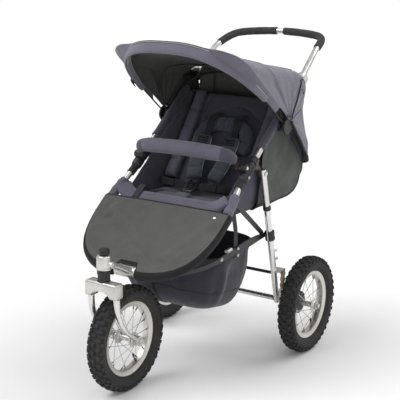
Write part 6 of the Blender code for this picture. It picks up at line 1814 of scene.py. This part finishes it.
def makePouch():
    corner, half, rows = (pouchSet[key] for key in ("corner", "half", "rows"))
    under = seatSet["base"] - 0.0032
    outer = smoothLine([(-0.202, under), (-0.150, under), (-0.054, 0.4925), (0.040, 0.5020), (0.084, 0.5400),
                        (0.098, 0.5900), (0.086, 0.6600), (0.068, 0.7200), (0.050, 0.7720)], rows)
    tubeY = [-0.222, -0.200, -0.170, -0.135, -0.105, -0.075, -0.045, -0.015, -0.004]
    share = np.linspace(0, 1, rows)
    tubeY = np.interp(share, np.linspace(0, 1, 9), tubeY)
    inner = np.column_stack([tubeY, tubeZ(tubeY)]) - (tubeRadius + pouchSet["hang"]) * square[1:]
    inner = inner - np.interp(share, [0, 0.125, 0.25], [0.050, 0.020, 0.0])[:, None] * square[1:]
    out = outer - inner
    reach = np.linalg.norm(out, axis=1, keepdims=True)
    out = out / reach
    t = np.linspace(0, 1, 26)[None]
    a = np.linspace(0, np.pi / 2, 9)[None, 1:]
    q = np.linspace(1, 0, 22)[None, 1:]
    r = np.hstack([t * (reach - corner), reach - corner + corner * np.sin(a), reach + 0 * q])
    x = np.hstack([half + 0 * t * reach, half - corner + corner * np.cos(a) + 0 * reach,
                   q * (half - corner) + 0 * reach])
    side = inner[:, None] + out[:, None] * r[..., None]
    halfGrid = np.concatenate([x[..., None], side], axis=2)
    grid = np.concatenate([halfGrid, halfGrid[:, -2::-1] * [-1, 1, 1]], axis=1)
    middle = np.array([0.0, -0.05, 0.62])
    normals = gridNormals(grid, middle)
    slack = ripples(grid, 12, 0.085, 0.0016) - 0.0030 * np.sin(np.pi * share)[:, None]
    slack = creased(slack, grid, [((half, 0.050, 0.770), (half, -0.020, 0.620), 0.012, -0.0042),
                                  ((half, 0.095, 0.660), (half, -0.060, 0.560), 0.014, 0.0036),
                                  ((half, 0.020, 0.700), (half, -0.120, 0.560), 0.012, -0.0036),
                                  ((half, 0.080, 0.560), (half, -0.100, 0.530), 0.012, -0.0034)], (1, -1))
    hold = np.clip(np.arange(grid.shape[1]) / 4.0, 0, 1)
    hold = np.minimum(hold, hold[::-1])[None]
    grid = grid + normals * (slack * hold)[..., None]
    cloth = gridPiece("pouch_mesh", grid, [pouchMesh, blackCloth])
    column = np.tile(np.arange(grid.shape[1] - 1), len(grid) - 1)
    cloth.data.polygons.foreach_set("material_index", ((column > 26) & (column < grid.shape[1] - 28)).astype(int))
    solidCloth(cloth, 0.0014)
    normals = gridNormals(grid, middle)
    trims = [piping("pouch_top", gridLine(grid, row=len(grid) - 1.0), 0.0030, blackTrim, across + 0.1 * up),
             piping("pouch_front", gridLine(grid, row=0.0), 0.0024, blackTrim, across + 0.1 * up)]
    for column in (27.0, grid.shape[1] - 28.0):
        line = gridLine(grid, column=column, lift=0.0006, normals=normals)
        trims.append(piping("pouch_corner", line, 0.0034, blackTrim, across))
    line = gridLine(grid, row=58.0, lift=0.0006, normals=normals)
    trims.append(piping("pouch_seam", line, 0.0014, blackTrim, across + 0.1 * up))
    trim = joinPieces("pouch_trim", trims)
    area = gridArea(grid)
    for piece, slotName in ((cloth, "mesh_fabric"), (trim, "webbing")):
        if piece is cloth:
            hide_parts("rear_pouch")
        followBack(piece)
    print("pouch area", round(area, 4))


def closePole(piece):
    # one face over the lowest open edge
    with opened(piece.data) as shape:
        rim = [e for e in shape.edges if e.is_boundary]
        low = min(v.co.z for e in rim for v in e.verts) + 0.02
        bmesh.ops.contextual_create(shape, geom=[e for e in rim if max(v.co.z for v in e.verts) < low])


basketSet = {"rimZ": 0.388, "deep": 0.202, "middleY": -0.298, "halfLong": 0.130, "halfWide": 0.1885, "seamRow": 26}
# share of the depth, of the width and of the length
basketLine = [(0.0, 1.00, 1.00), (0.18, 0.985, 0.99), (0.42, 0.95, 0.95), (0.66, 0.89, 0.88), (0.84, 0.79, 0.76),
              (0.95, 0.62, 0.58), (1.0, 0.36, 0.34)]


def makeBasket():
    rimZ, deep, middleY, halfLong, halfWide, seamRow = basketSet.values()
    # the walls, then the floor drawn in to its middle
    fine = smoothLine(basketLine, 64)
    floor = np.linspace(1.0, 0.03, 14)[1:, None] * [0, fine[-1, 1], fine[-1, 2]] + [1.0, 0, 0]
    down, wide, long_ = np.vstack([fine, floor]).T[..., None]
    ring = roundProfile(140, 1.0, 4.2)
    ring = ring / abs(ring).max(axis=0)
    turn = np.arctan2(ring[:, 1], ring[:, 0])[None]
    sagging = np.sin(np.pi * np.minimum(down, 1.0))
    fold = (0.0038 * np.sin(9 * turn) + 0.0022 * np.sin(15 * turn + 2.0) + 0.0016 * np.sin(23 * turn)) * sagging
    y = middleY - 0.010 * down + ring[:, 1][None] * (halfLong * long_ + 0.4 * fold)
    x = ring[:, 0][None] * (halfWide * wide + fold)
    z = rimZ - deep * down + (y - middleY) * (0.10 - 0.26 * down)
    z = z - 0.004 * sagging * np.cos(2 * turn + 0.4)
    grid = np.stack([x, y, z], axis=2)
    middle = np.array([0.0, middleY, rimZ - 0.08])
    normals = gridNormals(grid, middle)
    slack = ripples(grid, 44, 0.10, 0.0022) * sagging
    slack = creased(slack, grid, [((0.18, -0.20, 0.37), (0.12, -0.36, 0.22), 0.014, -0.0060),
                                  ((0.186, -0.26, 0.375), (0.16, -0.40, 0.26), 0.012, -0.0050),
                                  ((0.184, -0.34, 0.36), (0.08, -0.42, 0.21), 0.012, 0.0048),
                                  ((0.10, -0.425, 0.35), (-0.04, -0.42, 0.22), 0.014, -0.0055),
                                  ((-0.10, -0.425, 0.36), (-0.02, -0.41, 0.20), 0.012, 0.0045),
                                  ((-0.18, -0.22, 0.36), (-0.13, -0.36, 0.21), 0.014, -0.0055)])
    hold = np.clip(np.arange(len(grid)) / 5.0, 0, 1)[:, None]
    grid = grid + normals * (slack * hold)[..., None]
    cloth = gridPiece("basket_shell", grid, [basketCloth, basketCloth], closeColumns=True)
    closePole(cloth)
    solidCloth(cloth, 0.0018)
    normals = gridNormals(grid, middle)
    seam = grid[seamRow] + normals[seamRow] * 0.0008
    trims = [tubePiece(name, evenly(np.vstack([line, line[:1]]), 150), radius, blackTrim, up, count, smoothAngle=60)
             for name, line, radius, count in (("basket_rim", grid[0], 0.0030, 12), ("basket_seam", seam, 0.0012, 8))]
    column = int(np.argmin(np.linalg.norm(grid[0] - [-0.055, -0.425, 0.376], axis=1)))
    strap = grid[1:58:3, column] + normals[1:58:3, column] * 0.0022
    trims.append(strapPiece("basket_strap", strap, across, 0.0260, 0.0022, webbing))
    trim = joinPieces("basket_trim", trims)
    area = gridArea(np.concatenate([grid, grid[:, :1]], axis=1))
    for piece, slotName in ((cloth, "basket_fabric"), (trim, "webbing")):
        settle(piece, "frame", slotName, *(["basket"] if piece is cloth else []))
        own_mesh(piece)
    print("basket area", round(area, 4))


makePouch()
makeBasket()
print("stage: pouch and basket")
